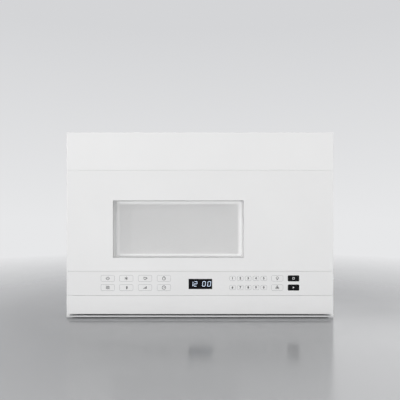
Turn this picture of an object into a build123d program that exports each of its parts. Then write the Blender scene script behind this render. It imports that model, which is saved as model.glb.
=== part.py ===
from build123d import *
from math import cos, radians, sin, sqrt, tan
import os

# Over the range microwave oven, 24 inch class. Millimetres, +Z up, front towards -Y.
# The origin is the middle of the case's footprint, at the level of its underside.

# ------------------------------------------------------------------ driving dimensions
# Sheet metal and clearances
SHEET = 1.0  # painted steel of the case, and the oven's liner
FOLD_R = 1.0  # inner radius of a fold
SLACK = 0.5  # between pieces that are near each other but don't touch
SLIDE = 0.3  # between a piece that slides and what guides it
RUNNING = 0.05  # radial clearance of a shaft in its bore

# Oven liner
CAVITY_W = 420.0
CAVITY_D = 318.0
CAVITY_H = 250.0
CAVITY_R = 9.0  # pressed corners
FLOOR_Z = 60.0  # height of the oven floor above the underside
DISH_DEPTH = 2.0  # round track for the rollers, pressed into the floor
BEAD_DEPTH = 3.0  # raised panel in the liner's back wall
BEAD_MARGIN = 45.0
BEAD_CLIP = 20.0  # its corners are cut at 45 degrees
PRESS_DRAFT = 30.0  # slope of pressed steps, degrees

# Spaces round the liner
DUCT_W = 45.0  # air duct on the left
BAY_W = 137.0  # power bay on the right
REAR_D = 26.0  # air path behind
BACK_INSET = 2.5  # the back plate sits inside the wrap's rear edge

# Vent blower over the liner
WHEEL_R = 42.0
WHEEL_L = 56.0
WHEEL_BLADES = 14
BLADE_T = 0.8
BLADE_DEPTH = 8.0  # radial depth of the ring of blades
SCROLL_CUTOFF = 6.0  # from the wheel to the scroll at its tightest
SCROLL_STEP = 7.0  # growth of the scroll in each quarter turn
SCROLL_W = 64.0
TONGUE_ANGLE = 25.0  # where the scroll starts, past its top
BLOWER_SPREAD = 95.0  # middle of each scroll from the middle of the motor
BLOWER_BACK_GAP = 6.0
BLOWER_FOOT = 1.5  # thickness of the cradle plate
HEADROOM = 3.5  # over the scrolls
BLOWER_MOTOR_R = 35.0
BLOWER_MOTOR_L = 70.0
BLOWER_SHAFT_R = 4.0
BLOWER_HUB_R = 9.0

# Door
DOOR_D = 46.0
DOOR_GAP = 1.5  # between the closed door and the front frame
DOOR_WALL = 3.0  # moulded door frame
SKIN = 3.0  # front panels
EDGE_R = 1.6  # rounding of the front's outer edges
RAIL_RISE = 1.6  # of the bottom rail above the underside
RAIL_H = 4.0
RAIL_D = 8.0
RAIL_R = 3.2
RAIL_END = 6.5  # length of the blocks that close the groove's ends
GRIP_H = 42.2
SEAM = 0.8
STRIP_H = 54.2
TOP_SEAM = 1.6

# Window in the door
WINDOW_W = 297.0
WINDOW_H = 130.7
WINDOW_SHIFT = -3.3  # of its middle from the middle of the oven
WINDOW_RISE = 29.8  # over the window panel's lower edge
WINDOW_R = 1.5
TUNNEL_WALL = 2.0
TUNNEL_DRAFT = 2.0  # degrees
GLASS_LAP = 6.0  # of the glass over the window's edge
SCREEN_T = 0.6
SCREEN_LAP = 3.0  # of the screen over the tunnel's rear edge
SCREEN_BORDER = 5.0  # plain border inside the tunnel's rear edge
PANE_T = 2.0

# Choke that keeps the waves in, round the door's rear face
CHOKE_LAND = 9.0  # flat face against the front frame
CHOKE_CHANNEL = 12.0
CHOKE_DEPTH = 18.0
CHOKE_STEP = 6.0  # the pan inside the land lies this far forward
CHOKE_LIP = 3.5
COMB_SLOT = 3.0
COMB_PITCH = 60.0
CHOKE_COVER_T = 1.0
CHOKE_CLEAR = 1.0  # to the door frame's top wall
CHOKE_CLIP = 9.0  # its corners are cut at 45 degrees
REAR_COVER_T = 2.0

# Hinges
HINGE_INSET = 11.0  # pin axis from the case's left side
HINGE_SETBACK = 20.0  # pin axis behind the door's front face
HINGE_EDGE_R = 10.0  # rounding of the door's rear edge by the hinge
PIN_R = 3.5
BUSH_WALL = 1.5
BUSH_L = 15.0
BOSS_WALL = 4.0
BRACKET_T = 2.5
ARM_LIFT = 0.4  # of the lower bracket over the rail
ARM_GAP = 0.6  # of the lower bracket under the door
ARM_NEAR = 6.0  # reach of the arm left of the pin
ARM_FAR = 10.0  # reach of the arm right of the pin
PIN_SHORT = 2.0  # the pin ends this far inside its bush
HINGE_FLANGE_W = 76.0
HINGE_FLANGE_H = 28.0

# Front controls
DISPLAY_W = 53.6
DISPLAY_H = 23.2
DISPLAY_X = 0.9
DISPLAY_RISE = 13.9  # over the control strip's lower edge
LENS_T = 2.6
LENS_GAP = 0.15
MODULE_D = 8.5
BOARD_T = 1.6
BOARD_X0 = -232.0
BOARD_X1 = 236.0
BOARD_H = 40.0

# Latch
LATCH_INSET = 47.0  # hooks from the choke's right edge
LATCH_TRAVEL = 4.0
HOOK_W = 6.0
HOOK_H = 8.0
HOOK_REACH = 25.0  # behind the front frame
HOOK_BARB = 4.0
HOOK_BARB_L = 8.0
HOOK_LOW_Z = 140.0
HOOK_PITCH = 120.0
LATCH_BAR_D = 10.0
LATCH_BAR_MARGIN = 20.0  # of the bar beyond its hooks
PLUNGER_TRAVEL = 1.6

# Finger pocket in the door's lower edge
POCKET_W = 106.0
POCKET_D = 26.0
POCKET_H = 22.0
POCKET_WALL = 2.0
POCKET_CLIP = 3.0
POCKET_INSET = 12.0  # from the door's right end

# Turntable
TRAY_SWEEP = 14.0  # from the tray's edge to the liner
TRAY_T = 5.0
TRAY_RIM_H = 14.0
TRAY_RIM_FLARE = 12.0
ROLLER_R = 7.5
ROLLER_T = 6.0
TRAY_OVERHANG = 40.0  # of the tray's edge past the rollers' track
ROLLER_CLEAR = 0.2
ROLLER_AXLE_R = 2.2
GUIDE_ARM_W = 8.0
GUIDE_ARM_T = 4.5
COUPLER_R = 17.0
COUPLER_H = 9.0
COUPLER_LOBES = 3
COUPLER_LOBE_W = 7.5
COUPLER_HUB_R = 9.5
STEM_R = 4.0
STEM_HOLE_R = 7.0
MOTOR_W = 50.0
MOTOR_H = 19.0

# Underside: grease filters and cooktop light
FILTER_W = 190.0
FILTER_D = 130.0
FILTER_T = 9.0
FILTER_FRAME = 7.0
FILTER_SPACING = 30.0
FILTER_Y = -62.0  # their front edge
LIGHT_W = 120.0
LIGHT_D = 56.0
LIGHT_SETBACK = 16.0
LIGHT_T = 3.0
LIGHT_LIP = 4.0
BASE_FLANGE = 14.0

# Microwave source in the bay
WAVEGUIDE_D = 20.0
WAVEGUIDE_W = 86.0
WAVEGUIDE_Z0 = 130.0
WAVEGUIDE_H = 165.0
PORT_W = 70.0
PORT_H = 44.0
MICA_T = 0.8
MICA_LAP = 8.0
MAGNETRON_W = 78.0
MAGNETRON_H = 82.0
MAGNETRON_D = 68.0
MAGNETRON_CORE_R = 19.0
MAGNETRON_MAGNET_R = 27.0
MAGNETRON_MAGNET_T = 11.0
MAGNETRON_FINS = 4
ANTENNA_R = 8.0
ANTENNA_L = 15.0
CORE_W = 96.0
CORE_H = 80.0
CORE_D = 56.0
CORE_LEG = 32.0
CORE_WINDOW_W = 16.0
COIL_BULGE = 15.0
CAP_W = 52.0
CAP_D = 34.0
CAP_H = 88.0
FAN_R = 42.0
FAN_HUB_R = 13.0
FAN_BLADES = 5
FAN_L = 20.0
FAN_TIP_GAP = 3.0
FAN_SHAFT_R = 2.5
LAMP_PORT = 42.0

# Vents, mounts and fasteners
GRILLE_WALL = 2.5
SLOT_W = 3.5
SLOT_L = 30.0
SLOT_PITCH = 20.0
AIR_W = 260.0
AIR_H = 50.0
CHARCOAL_LAP = 9.0
CHARCOAL_T = 14.0
BOLT_R = 3.2
BOLT_SPACING = 380.0
BOLT_SETBACK = 70.0  # behind the front frame
NUT_R = 8.0
NUT_H = 7.0
CORD_HOLE_W = 34.0
CORD_HOLE_D = 26.0
HOOK_SLOT_SPACING = 420.0
HOOK_SLOT_L = 30.0
HOOK_SLOT_W = 6.0
HOOK_SLOT_Z = 24.0
SCREW_R = 3.6
SCREW_H = 1.8
SCREW_MARGIN = 9.0

# ------------------------------------------------------------------ layout worked out from them
# Heights
Z_CEILING = FLOOR_Z + CAVITY_H
Z_OVER = Z_CEILING + SHEET
SCROLL_R1 = WHEEL_R + SCROLL_CUTOFF
SCROLL_R2 = SCROLL_R1 + SCROLL_STEP
SCROLL_R3 = SCROLL_R2 + SCROLL_STEP
SCROLL_HALF = SCROLL_STEP / 2
Z_BLOWER = Z_OVER + BLOWER_FOOT + SHEET + SCROLL_R2 + SCROLL_HALF
Z_ROOF = Z_BLOWER - SCROLL_HALF + SCROLL_R1 + SHEET + HEADROOM
HEIGHT = Z_ROOF + SHEET
CHOKE_REACH = CHOKE_LAND + CHOKE_CHANNEL
Z_RAIL_TOP = RAIL_RISE + RAIL_H
Z_ARM = Z_RAIL_TOP + ARM_LIFT
Z_GRIP = Z_ARM + BRACKET_T + ARM_GAP
Z_STRIP = Z_GRIP + GRIP_H + SEAM
Z_PANEL = Z_STRIP + STRIP_H + SEAM
Z_DOOR_TOP = Z_CEILING + CHOKE_REACH + CHOKE_CLEAR + DOOR_WALL
Z_GRILLE = Z_DOOR_TOP + TOP_SEAM

# Widths
WIDTH = 2 * SHEET + DUCT_W + 2 * SHEET + CAVITY_W + BAY_W
X_LEFT = -WIDTH / 2
X_RIGHT = WIDTH / 2
X_CAVITY_L = X_LEFT + 2 * SHEET + DUCT_W
X_CAVITY_R = X_CAVITY_L + CAVITY_W
X_CAVITY = (X_CAVITY_L + X_CAVITY_R) / 2
X_BAY = X_CAVITY_R + SHEET
X_BAY_MID = X_BAY + BAY_W / 2

# Depths
DEPTH = DOOR_D + DOOR_GAP + SHEET + CAVITY_D + SHEET + REAR_D + SHEET + BACK_INSET
Y_FRONT = -DEPTH / 2
Y_REAR = DEPTH / 2
Y_SKIN = Y_FRONT + SKIN  # back of the front panels
Y_DOOR_REAR = Y_FRONT + DOOR_D
Y_CASE = Y_DOOR_REAR + DOOR_GAP  # front face of the front frame
Y_CAVITY_F = Y_CASE + SHEET
Y_CAVITY_B = Y_CAVITY_F + CAVITY_D
Y_BACK = Y_REAR - BACK_INSET  # outer face of the back plate
Y_BACK_IN = Y_BACK - SHEET

# Centres of the moving pieces
X_HINGE = X_LEFT + HINGE_INSET
Y_HINGE = Y_FRONT + HINGE_SETBACK
Y_BLOWER = Y_BACK_IN - BLOWER_BACK_GAP - SHEET - SCROLL_R3 - SCROLL_HALF
Y_TABLE = Y_CAVITY_F + CAVITY_D / 2
X_LATCH = X_CAVITY_R + CHOKE_REACH + LATCH_INSET
Z_DISH = FLOOR_Z - DISH_DEPTH
Z_ROLLER = Z_DISH + ROLLER_CLEAR + ROLLER_R
Z_TRAY = Z_ROLLER + ROLLER_R + ROLLER_CLEAR
TRAY_R = min(CAVITY_W, CAVITY_D) / 2 - TRAY_SWEEP
ROLLER_TRACK_R = TRAY_R - TRAY_OVERHANG
DISH_R = ROLLER_TRACK_R + 2 * ROLLER_T

# Door section, front to back
Y_WALL_REAR = Y_SKIN + DOOR_WALL  # back of the door frame's front wall, and of the glass
Y_PAN = Y_DOOR_REAR - CHOKE_STEP  # front face of the choke's pan
Y_SCREEN = Y_PAN - SCREEN_T
Y_CHANNEL = Y_DOOR_REAR - CHOKE_DEPTH
X_WINDOW = X_CAVITY + WINDOW_SHIFT
X_WINDOW_L = X_WINDOW - WINDOW_W / 2
X_WINDOW_R = X_WINDOW + WINDOW_W / 2
Z_WINDOW_B = Z_PANEL + WINDOW_RISE
Z_WINDOW_T = Z_WINDOW_B + WINDOW_H
TUNNEL_IN = (Y_SCREEN - Y_WALL_REAR) * tan(radians(TUNNEL_DRAFT))
BUSH_R = PIN_R + RUNNING + BUSH_WALL
BOSS_R = BUSH_R + BOSS_WALL
Z_DISPLAY = Z_STRIP + DISPLAY_RISE
Y_BOARD = Y_SKIN + MODULE_D


# ------------------------------------------------------------------ helpers
def front_plane(y):
    """Plane at depth y whose sketch axes are the object's X and Z. Extruding comes forward."""
    return Plane(origin=(0, y, 0), x_dir=(1, 0, 0), z_dir=(0, -1, 0))


def side_plane(x):
    """Plane at X = x whose sketch axes are the object's Y and Z. Extruding goes right."""
    return Plane(origin=(x, 0, 0), x_dir=(0, 1, 0), z_dir=(1, 0, 0))


def span(a0, a1, b0, b1, radius=0.0, mode=Mode.ADD):
    """Rectangle from (a0, b0) to (a1, b1) in the sketch's own axes."""
    with Locations(((a0 + a1) / 2, (b0 + b1) / 2)):
        if radius > 0:
            RectangleRounded(a1 - a0, b1 - b0, radius, mode=mode)
        else:
            Rectangle(a1 - a0, b1 - b0, mode=mode)


def clipped(a0, a1, b0, b1, clip, mode=Mode.ADD):
    """Rectangle from (a0, b0) to (a1, b1) with its corners cut at 45 degrees."""
    lower = [(a0, b0 + clip), (a0 + clip, b0), (a1 - clip, b0), (a1, b0 + clip)]
    upper = [(a1, b1 - clip), (a1 - clip, b1), (a0 + clip, b1), (a0, b1 - clip)]
    Polygon(*lower, *upper, align=None, mode=mode)


def around_cavity(reach, mode=Mode.ADD):
    """The oven's mouth, grown by reach on all four sides."""
    x0 = X_CAVITY_L - reach
    x1 = X_CAVITY_R + reach
    span(x0, x1, FLOOR_Z - reach, Z_CEILING + reach, radius=CAVITY_R + reach, mode=mode)


def choke_outline(reach, mode=Mode.ADD):
    """Outline of the choke at this reach beyond the oven's mouth. Its walls keep their thickness."""
    x0 = X_CAVITY_L - reach
    x1 = X_CAVITY_R + reach
    clip = CHOKE_CLIP + reach * (2 - sqrt(2))
    clipped(x0, x1, FLOOR_Z - reach, Z_CEILING + reach, clip, mode=mode)


def around_window(reach, radius=0.0, mode=Mode.ADD):
    """The window's outline, grown by reach on all four sides."""
    x0 = X_WINDOW_L - reach
    x1 = X_WINDOW_R + reach
    span(x0, x1, Z_WINDOW_B - reach, Z_WINDOW_T + reach, radius=radius, mode=mode)


def row(first, last, pitch):
    """Evenly spaced places from first to last, as many as fit, centred between them."""
    count = int((last - first) / pitch) + 1
    start = (first + last - (count - 1) * pitch) / 2
    return [start + i * pitch for i in range(count)]


def save(piece, name):
    """Label a finished piece and write it to its own file."""
    piece.part.label = name
    export_step(piece.part, f"parts/{name}.step")


os.makedirs("parts", exist_ok=True)

# ------------------------------------------------------------------ case
BLOWER_PORT_Y0 = Y_BLOWER - SCROLL_HALF + SCROLL_R1 * sin(radians(TONGUE_ANGLE))
BLOWER_PORT_Y1 = Y_BLOWER + SCROLL_HALF + SCROLL_R3
X_CORD = X_BAY_MID

with BuildPart() as outer_wrap:
    with BuildSketch(front_plane(Y_REAR)) as wrap_section:
        span(X_LEFT, X_RIGHT, 0, HEIGHT)
        fillet(wrap_section.vertices().group_by(Axis.Y)[-1], radius=FOLD_R + SHEET)
        span(X_LEFT + SHEET, X_RIGHT - SHEET, -HEIGHT, Z_ROOF, FOLD_R, Mode.SUBTRACT)
    extrude(amount=Y_REAR - Y_CASE)
    with BuildSketch(Plane.XY.offset(Z_ROOF)):
        for side in (-1, 1):
            x_port = side * BLOWER_SPREAD
            half = SCROLL_W / 2 - SHEET
            span(x_port - half, x_port + half, BLOWER_PORT_Y0, BLOWER_PORT_Y1)
        with Locations((0, Y_CASE + BOLT_SETBACK)):
            with GridLocations(BOLT_SPACING, 0, 2, 1):
                Circle(BOLT_R)
        with Locations((X_CORD, Y_BLOWER)):
            Rectangle(CORD_HOLE_W, CORD_HOLE_D)
    extrude(amount=SHEET, mode=Mode.SUBTRACT)
save(outer_wrap, "outer_wrap")

PANEL_EMBOSS_MARGIN = 60.0
EMBOSS_SHRINK = SHEET * (1 / cos(radians(PRESS_DRAFT)) - tan(radians(PRESS_DRAFT)))

with BuildPart() as back_plate:
    with BuildSketch(front_plane(Y_BACK)) as plate:
        span(X_LEFT + SHEET, X_RIGHT - SHEET, 0, Z_ROOF)
        fillet(plate.vertices().group_by(Axis.Y)[-1], radius=FOLD_R)
    extrude(amount=SHEET)
    # a raised stiffening panel, pressed inwards
    m = PANEL_EMBOSS_MARGIN
    with BuildSketch(front_plane(Y_BACK_IN)):
        clipped(X_LEFT + m, X_RIGHT - m, m, HEIGHT - m, BEAD_CLIP)
    extrude(amount=BEAD_DEPTH, taper=PRESS_DRAFT)
    m = PANEL_EMBOSS_MARGIN + EMBOSS_SHRINK
    with BuildSketch(front_plane(Y_BACK)):
        clipped(X_LEFT + m, X_RIGHT - m, m, HEIGHT - m, BEAD_CLIP)
    extrude(amount=BEAD_DEPTH, taper=PRESS_DRAFT, mode=Mode.SUBTRACT)
    # slots that hang on the wall bracket's hooks
    with BuildSketch(front_plane(Y_BACK)):
        with Locations((0, HOOK_SLOT_Z)):
            with GridLocations(HOOK_SLOT_SPACING, 0, 2, 1):
                SlotOverall(HOOK_SLOT_L, HOOK_SLOT_W)
    extrude(amount=SHEET, mode=Mode.SUBTRACT)
save(back_plate, "back_plate")

X_FILTERS = [X_CAVITY + side * (FILTER_W + FILTER_SPACING) / 2 for side in (-1, 1)]
Y_FILTER = FILTER_Y + FILTER_D / 2
Y_LIGHT = Y_CAVITY_F + LIGHT_SETBACK + LIGHT_D / 2
INTAKE_SLOT_W = 4.0
INTAKE_SLOT_L = 60.0
INTAKE_PITCH = 12.0
INTAKE_INSET = 50.0
INTAKE_Y = Y_BACK_IN - INTAKE_INSET

with BuildPart() as base_plate:
    with BuildSketch(Plane.XY):
        span(X_LEFT + SHEET, X_RIGHT - SHEET, Y_CAVITY_F, Y_BACK_IN)
    extrude(amount=BASE_FLANGE)
    offset(amount=-SHEET, openings=base_plate.faces().sort_by(Axis.Z)[-1])
    # rims that the filters sit in
    with BuildSketch(Plane.XY):
        for x in X_FILTERS:
            with Locations((x, Y_FILTER)):
                Rectangle(FILTER_W + 2 * SHEET, FILTER_D + 2 * SHEET)
    extrude(amount=FILTER_T)
    with BuildSketch(Plane.XY):
        for x in X_FILTERS:
            with Locations((x, Y_FILTER)):
                Rectangle(FILTER_W, FILTER_D)
    extrude(amount=FILTER_T, mode=Mode.SUBTRACT)
    # opening for the light, and slots that feed the bay's fan
    with BuildSketch(Plane.XY):
        with Locations((X_CAVITY, Y_LIGHT)):
            Rectangle(LIGHT_W, LIGHT_D)
        for x in row(X_BAY + 2 * INTAKE_PITCH, X_RIGHT - 2 * INTAKE_PITCH, INTAKE_PITCH):
            with Locations((x, INTAKE_Y)):
                Rectangle(INTAKE_SLOT_W, INTAKE_SLOT_L)
    extrude(amount=SHEET, mode=Mode.SUBTRACT)
save(base_plate, "base_plate")

Z_HOOKS = [HOOK_LOW_Z, HOOK_LOW_Z + HOOK_PITCH]
LATCH_HOLE_W = HOOK_W + 2 * SLACK
LATCH_HOLE_LOW = HOOK_BARB + SLACK  # room under the hook for its barb
LATCH_HOLE_HIGH = LATCH_TRAVEL + SLACK
Z_AIR = Z_ROOF - 2 * CHARCOAL_LAP - AIR_H

with BuildPart() as front_frame:
    with BuildSketch(front_plane(Y_CAVITY_F)) as plate:
        span(X_LEFT + SHEET, X_RIGHT - SHEET, 0, Z_ROOF)
        fillet(plate.vertices().group_by(Axis.Y)[-1], radius=FOLD_R)
        around_cavity(0, mode=Mode.SUBTRACT)
        span(-AIR_W / 2, AIR_W / 2, Z_AIR, Z_AIR + AIR_H, mode=Mode.SUBTRACT)
        for z in Z_HOOKS:
            span(
                X_LATCH - LATCH_HOLE_W / 2,
                X_LATCH + LATCH_HOLE_W / 2,
                z - LATCH_HOLE_LOW,
                z + HOOK_H + LATCH_HOLE_HIGH,
                mode=Mode.SUBTRACT,
            )
    extrude(amount=SHEET)
save(front_frame, "front_frame")

with BuildPart() as vent_grille:
    with BuildSketch(front_plane(Y_CASE)):
        span(X_LEFT, X_RIGHT, Z_GRILLE, HEIGHT)
    extrude(amount=Y_CASE - Y_FRONT)
    front_edges = vent_grille.faces().sort_by(Axis.Y)[0].edges()
    fillet(front_edges.filter_by(Axis.Z) + front_edges.sort_by(Axis.Z)[-1:], radius=EDGE_R)
    offset(
        amount=-GRILLE_WALL,
        openings=[vent_grille.faces().sort_by(Axis.Y)[-1], vent_grille.faces().sort_by(Axis.Z)[0]],
    )
    # louvre slots in the top, out of sight from the front
    with BuildSketch(Plane.XY.offset(HEIGHT)):
        for x in row(X_LEFT + SLOT_PITCH, X_RIGHT - SLOT_PITCH, SLOT_PITCH):
            with Locations((x, (Y_CASE + Y_FRONT) / 2)):
                Rectangle(SLOT_W, SLOT_L)
    extrude(amount=-GRILLE_WALL, mode=Mode.SUBTRACT)
save(vent_grille, "vent_grille")

CHARCOAL_RIM = 5.0
CHARCOAL_RECESS = 2.5

with BuildPart() as charcoal_filter:
    lap = CHARCOAL_LAP
    with BuildSketch(front_plane(Y_CASE)):
        span(-AIR_W / 2 - lap, AIR_W / 2 + lap, Z_AIR - lap, Z_AIR + AIR_H + lap)
    extrude(amount=CHARCOAL_T)
    lap = CHARCOAL_LAP - CHARCOAL_RIM
    with BuildSketch(front_plane(Y_CASE - CHARCOAL_T)):
        span(-AIR_W / 2 - lap, AIR_W / 2 + lap, Z_AIR - lap, Z_AIR + AIR_H + lap)
    extrude(amount=-CHARCOAL_RECESS, mode=Mode.SUBTRACT)
save(charcoal_filter, "charcoal_filter")

# Clinch nuts under the roof, for the bolts that come down through the cabinet
with BuildPart() as cabinet_nuts:
    with BuildSketch(Plane.XY.offset(Z_ROOF)):
        with Locations((0, Y_CASE + BOLT_SETBACK)):
            with GridLocations(BOLT_SPACING, 0, 2, 1):
                RegularPolygon(NUT_R, 6)
                Circle(BOLT_R, mode=Mode.SUBTRACT)
    extrude(amount=-NUT_H)
save(cabinet_nuts, "cabinet_nuts")

# Hex head screws round the back plate
SCREWS_ACROSS = 3
SCREWS_UP = 3

with BuildPart() as case_screws:
    with BuildSketch(front_plane(Y_BACK)):
        m = SCREW_MARGIN
        with Locations((0, HEIGHT / 2)):
            with GridLocations(WIDTH / 2 - SHEET - m, HEIGHT - 2 * SHEET - 2 * m, SCREWS_ACROSS, 2):
                RegularPolygon(SCREW_R, 6)
            with GridLocations(WIDTH - 2 * SHEET - 2 * m, HEIGHT / 4, 2, SCREWS_UP):
                RegularPolygon(SCREW_R, 6)
    extrude(amount=-SCREW_H)
save(case_screws, "case_screws")

# ------------------------------------------------------------------ oven
LAMP_SETBACK = 60.0
LAMP_DROP = 55.0
Z_PORT = WAVEGUIDE_Z0 + SHEET
Y_WAVEGUIDE = Y_TABLE
Y_LAMP = Y_CAVITY_F + LAMP_SETBACK
Z_LAMP = Z_CEILING - LAMP_DROP
VENT_SLOT_L = 34.0
VENT_SLOT_W = 3.0
VENT_SLOT_PITCH = 9.0
VENT_SLOTS = 7
VENT_DROP = 50.0
Z_VENT = Z_CEILING - VENT_DROP

with BuildPart() as oven_cavity:
    with BuildSketch(front_plane(Y_CAVITY_B + SHEET)):
        around_cavity(SHEET)
    extrude(amount=CAVITY_D + SHEET)
    offset(amount=-SHEET, openings=oven_cavity.faces().sort_by(Axis.Y)[0])
    # raised panel in the back wall, pressed outwards
    m = BEAD_MARGIN
    with BuildSketch(front_plane(Y_CAVITY_B + SHEET)):
        clipped(X_CAVITY_L + m, X_CAVITY_R - m, FLOOR_Z + m, Z_CEILING - m, BEAD_CLIP)
    extrude(amount=-BEAD_DEPTH, taper=PRESS_DRAFT)
    m = BEAD_MARGIN + EMBOSS_SHRINK
    with BuildSketch(front_plane(Y_CAVITY_B)):
        clipped(X_CAVITY_L + m, X_CAVITY_R - m, FLOOR_Z + m, Z_CEILING - m, BEAD_CLIP)
    extrude(amount=-BEAD_DEPTH, taper=PRESS_DRAFT, mode=Mode.SUBTRACT)
    # round dish for the rollers, and the hole for the turntable's stem
    with Locations((X_CAVITY, Y_TABLE, Z_DISH - SHEET)):
        Cylinder(DISH_R + SHEET, DISH_DEPTH, align=(Align.CENTER, Align.CENTER, Align.MIN))
    with Locations((X_CAVITY, Y_TABLE, Z_DISH)):
        Cylinder(
            DISH_R,
            DISH_DEPTH,
            align=(Align.CENTER, Align.CENTER, Align.MIN),
            mode=Mode.SUBTRACT,
        )
    with Locations((X_CAVITY, Y_TABLE, Z_DISH)):
        Hole(STEM_HOLE_R, depth=SHEET)
    # waveguide port and lamp port in the right wall
    with BuildSketch(side_plane(X_CAVITY_R)):
        span(Y_WAVEGUIDE - PORT_W / 2, Y_WAVEGUIDE + PORT_W / 2, Z_PORT, Z_PORT + PORT_H)
        with Locations((Y_LAMP, Z_LAMP)):
            Rectangle(LAMP_PORT, LAMP_PORT)
    extrude(amount=SHEET, mode=Mode.SUBTRACT)
    # steam vents in the left wall
    with BuildSketch(side_plane(X_CAVITY_L - SHEET)):
        with Locations((Y_TABLE, Z_VENT)):
            with GridLocations(VENT_SLOT_PITCH, 0, VENT_SLOTS, 1):
                Rectangle(VENT_SLOT_W, VENT_SLOT_L)
    extrude(amount=SHEET, mode=Mode.SUBTRACT)
save(oven_cavity, "oven_cavity")

with BuildPart() as lamp_guard:
    with BuildSketch(side_plane(X_CAVITY_R)):
        with Locations((Y_LAMP, Z_LAMP)):
            Rectangle(LAMP_PORT, LAMP_PORT)
    extrude(amount=SHEET)
save(lamp_guard, "lamp_guard")

with BuildPart() as waveguide_cover:
    lap = MICA_LAP
    y0 = Y_WAVEGUIDE - PORT_W / 2 - lap
    y1 = Y_WAVEGUIDE + PORT_W / 2 + lap
    with BuildSketch(side_plane(X_CAVITY_R)):
        clipped(y0, y1, Z_PORT - lap, Z_PORT + PORT_H + lap, lap / 2)
    extrude(amount=-MICA_T)
save(waveguide_cover, "waveguide_cover")

WAVEGUIDE_FLANGE = 10.0
X_MAGNETRON = X_BAY + WAVEGUIDE_D
Z_WAVEGUIDE_T = WAVEGUIDE_Z0 + WAVEGUIDE_H
Z_MAGNETRON = Z_WAVEGUIDE_T - MAGNETRON_H / 2
WAVEGUIDE_HALF = WAVEGUIDE_W / 2

with BuildPart() as waveguide:
    f = WAVEGUIDE_FLANGE
    with BuildSketch(side_plane(X_BAY)):
        span(
            Y_WAVEGUIDE - WAVEGUIDE_HALF - f,
            Y_WAVEGUIDE + WAVEGUIDE_HALF + f,
            WAVEGUIDE_Z0 - f,
            Z_WAVEGUIDE_T + f,
        )
    extrude(amount=SHEET)
    with BuildSketch(side_plane(X_BAY)):
        span(
            Y_WAVEGUIDE - WAVEGUIDE_HALF,
            Y_WAVEGUIDE + WAVEGUIDE_HALF,
            WAVEGUIDE_Z0,
            Z_WAVEGUIDE_T,
        )
    extrude(amount=WAVEGUIDE_D)
    with BuildSketch(side_plane(X_BAY)):
        span(
            Y_WAVEGUIDE - WAVEGUIDE_HALF + SHEET,
            Y_WAVEGUIDE + WAVEGUIDE_HALF - SHEET,
            WAVEGUIDE_Z0 + SHEET,
            Z_WAVEGUIDE_T - SHEET,
        )
    extrude(amount=WAVEGUIDE_D - SHEET, mode=Mode.SUBTRACT)
    with BuildSketch(side_plane(X_MAGNETRON - SHEET)):
        with Locations((Y_WAVEGUIDE, Z_MAGNETRON)):
            Circle(ANTENNA_R + SHEET)
    extrude(amount=SHEET, mode=Mode.SUBTRACT)
save(waveguide, "waveguide")

YOKE_T = 2.0
FIN_T = 0.8
ANODE_SIDES = 12
FILTER_BOX_W = 48.0
FILTER_BOX_D = 46.0
FILTER_BOX_H = 26.0

with BuildPart() as magnetron:
    # steel yoke, open along Y so that air passes through the fins
    with BuildSketch(front_plane(Y_WAVEGUIDE + MAGNETRON_W / 2)):
        z0 = Z_MAGNETRON - MAGNETRON_H / 2
        z1 = Z_MAGNETRON + MAGNETRON_H / 2
        x1 = X_MAGNETRON + MAGNETRON_D
        span(X_MAGNETRON, x1, z0, z1)
        span(X_MAGNETRON + YOKE_T, x1 - YOKE_T, z0 + YOKE_T, z1 - YOKE_T, mode=Mode.SUBTRACT)
    extrude(amount=MAGNETRON_W)
    # anode block between two ring magnets
    with BuildSketch(side_plane(X_MAGNETRON + YOKE_T)):
        with Locations((Y_WAVEGUIDE, Z_MAGNETRON)):
            RegularPolygon(MAGNETRON_CORE_R, ANODE_SIDES)
    extrude(amount=MAGNETRON_D - 2 * YOKE_T)
    for x_magnet in (X_MAGNETRON + YOKE_T, x1 - YOKE_T - MAGNETRON_MAGNET_T):
        with BuildSketch(side_plane(x_magnet)):
            with Locations((Y_WAVEGUIDE, Z_MAGNETRON)):
                RegularPolygon(MAGNETRON_MAGNET_R, ANODE_SIDES)
        extrude(amount=MAGNETRON_MAGNET_T)
    # cooling fins
    fins_from = X_MAGNETRON + YOKE_T + MAGNETRON_MAGNET_T
    fins_to = x1 - YOKE_T - MAGNETRON_MAGNET_T
    fin_pitch = (fins_to - fins_from) / (MAGNETRON_FINS + 1)
    for i in range(MAGNETRON_FINS):
        with BuildSketch(side_plane(fins_from + (i + 1) * fin_pitch - FIN_T / 2)):
            with Locations((Y_WAVEGUIDE, Z_MAGNETRON)):
                Rectangle(MAGNETRON_W - 2 * YOKE_T, MAGNETRON_H - 2 * YOKE_T)
        extrude(amount=FIN_T)
    # antenna into the waveguide, and the filter box under the yoke
    with BuildSketch(side_plane(X_MAGNETRON)):
        with Locations((Y_WAVEGUIDE, Z_MAGNETRON)):
            Circle(ANTENNA_R)
    extrude(amount=-ANTENNA_L)
    with BuildSketch(Plane.XY.offset(z0)):
        with Locations((X_MAGNETRON + MAGNETRON_D / 2, Y_WAVEGUIDE)):
            Rectangle(FILTER_BOX_W, FILTER_BOX_D)
    extrude(amount=-FILTER_BOX_H)
save(magnetron, "magnetron")

# Transformer on the base plate: a stack of laminations and two windings round its middle leg
CORE_SIDE_GAP = 12.0
CORE_SETBACK = 60.0
CORE_BASE_T = 2.0
CORE_BASE_LAP = 12.0  # of its base plate, to the front and the rear
X_TRANSFORMER = X_RIGHT - SHEET - CORE_SIDE_GAP - CORE_W / 2
Y_TRANSFORMER = Y_CAVITY_F + CORE_SETBACK
Z_CORE = SHEET + CORE_BASE_T

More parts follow.
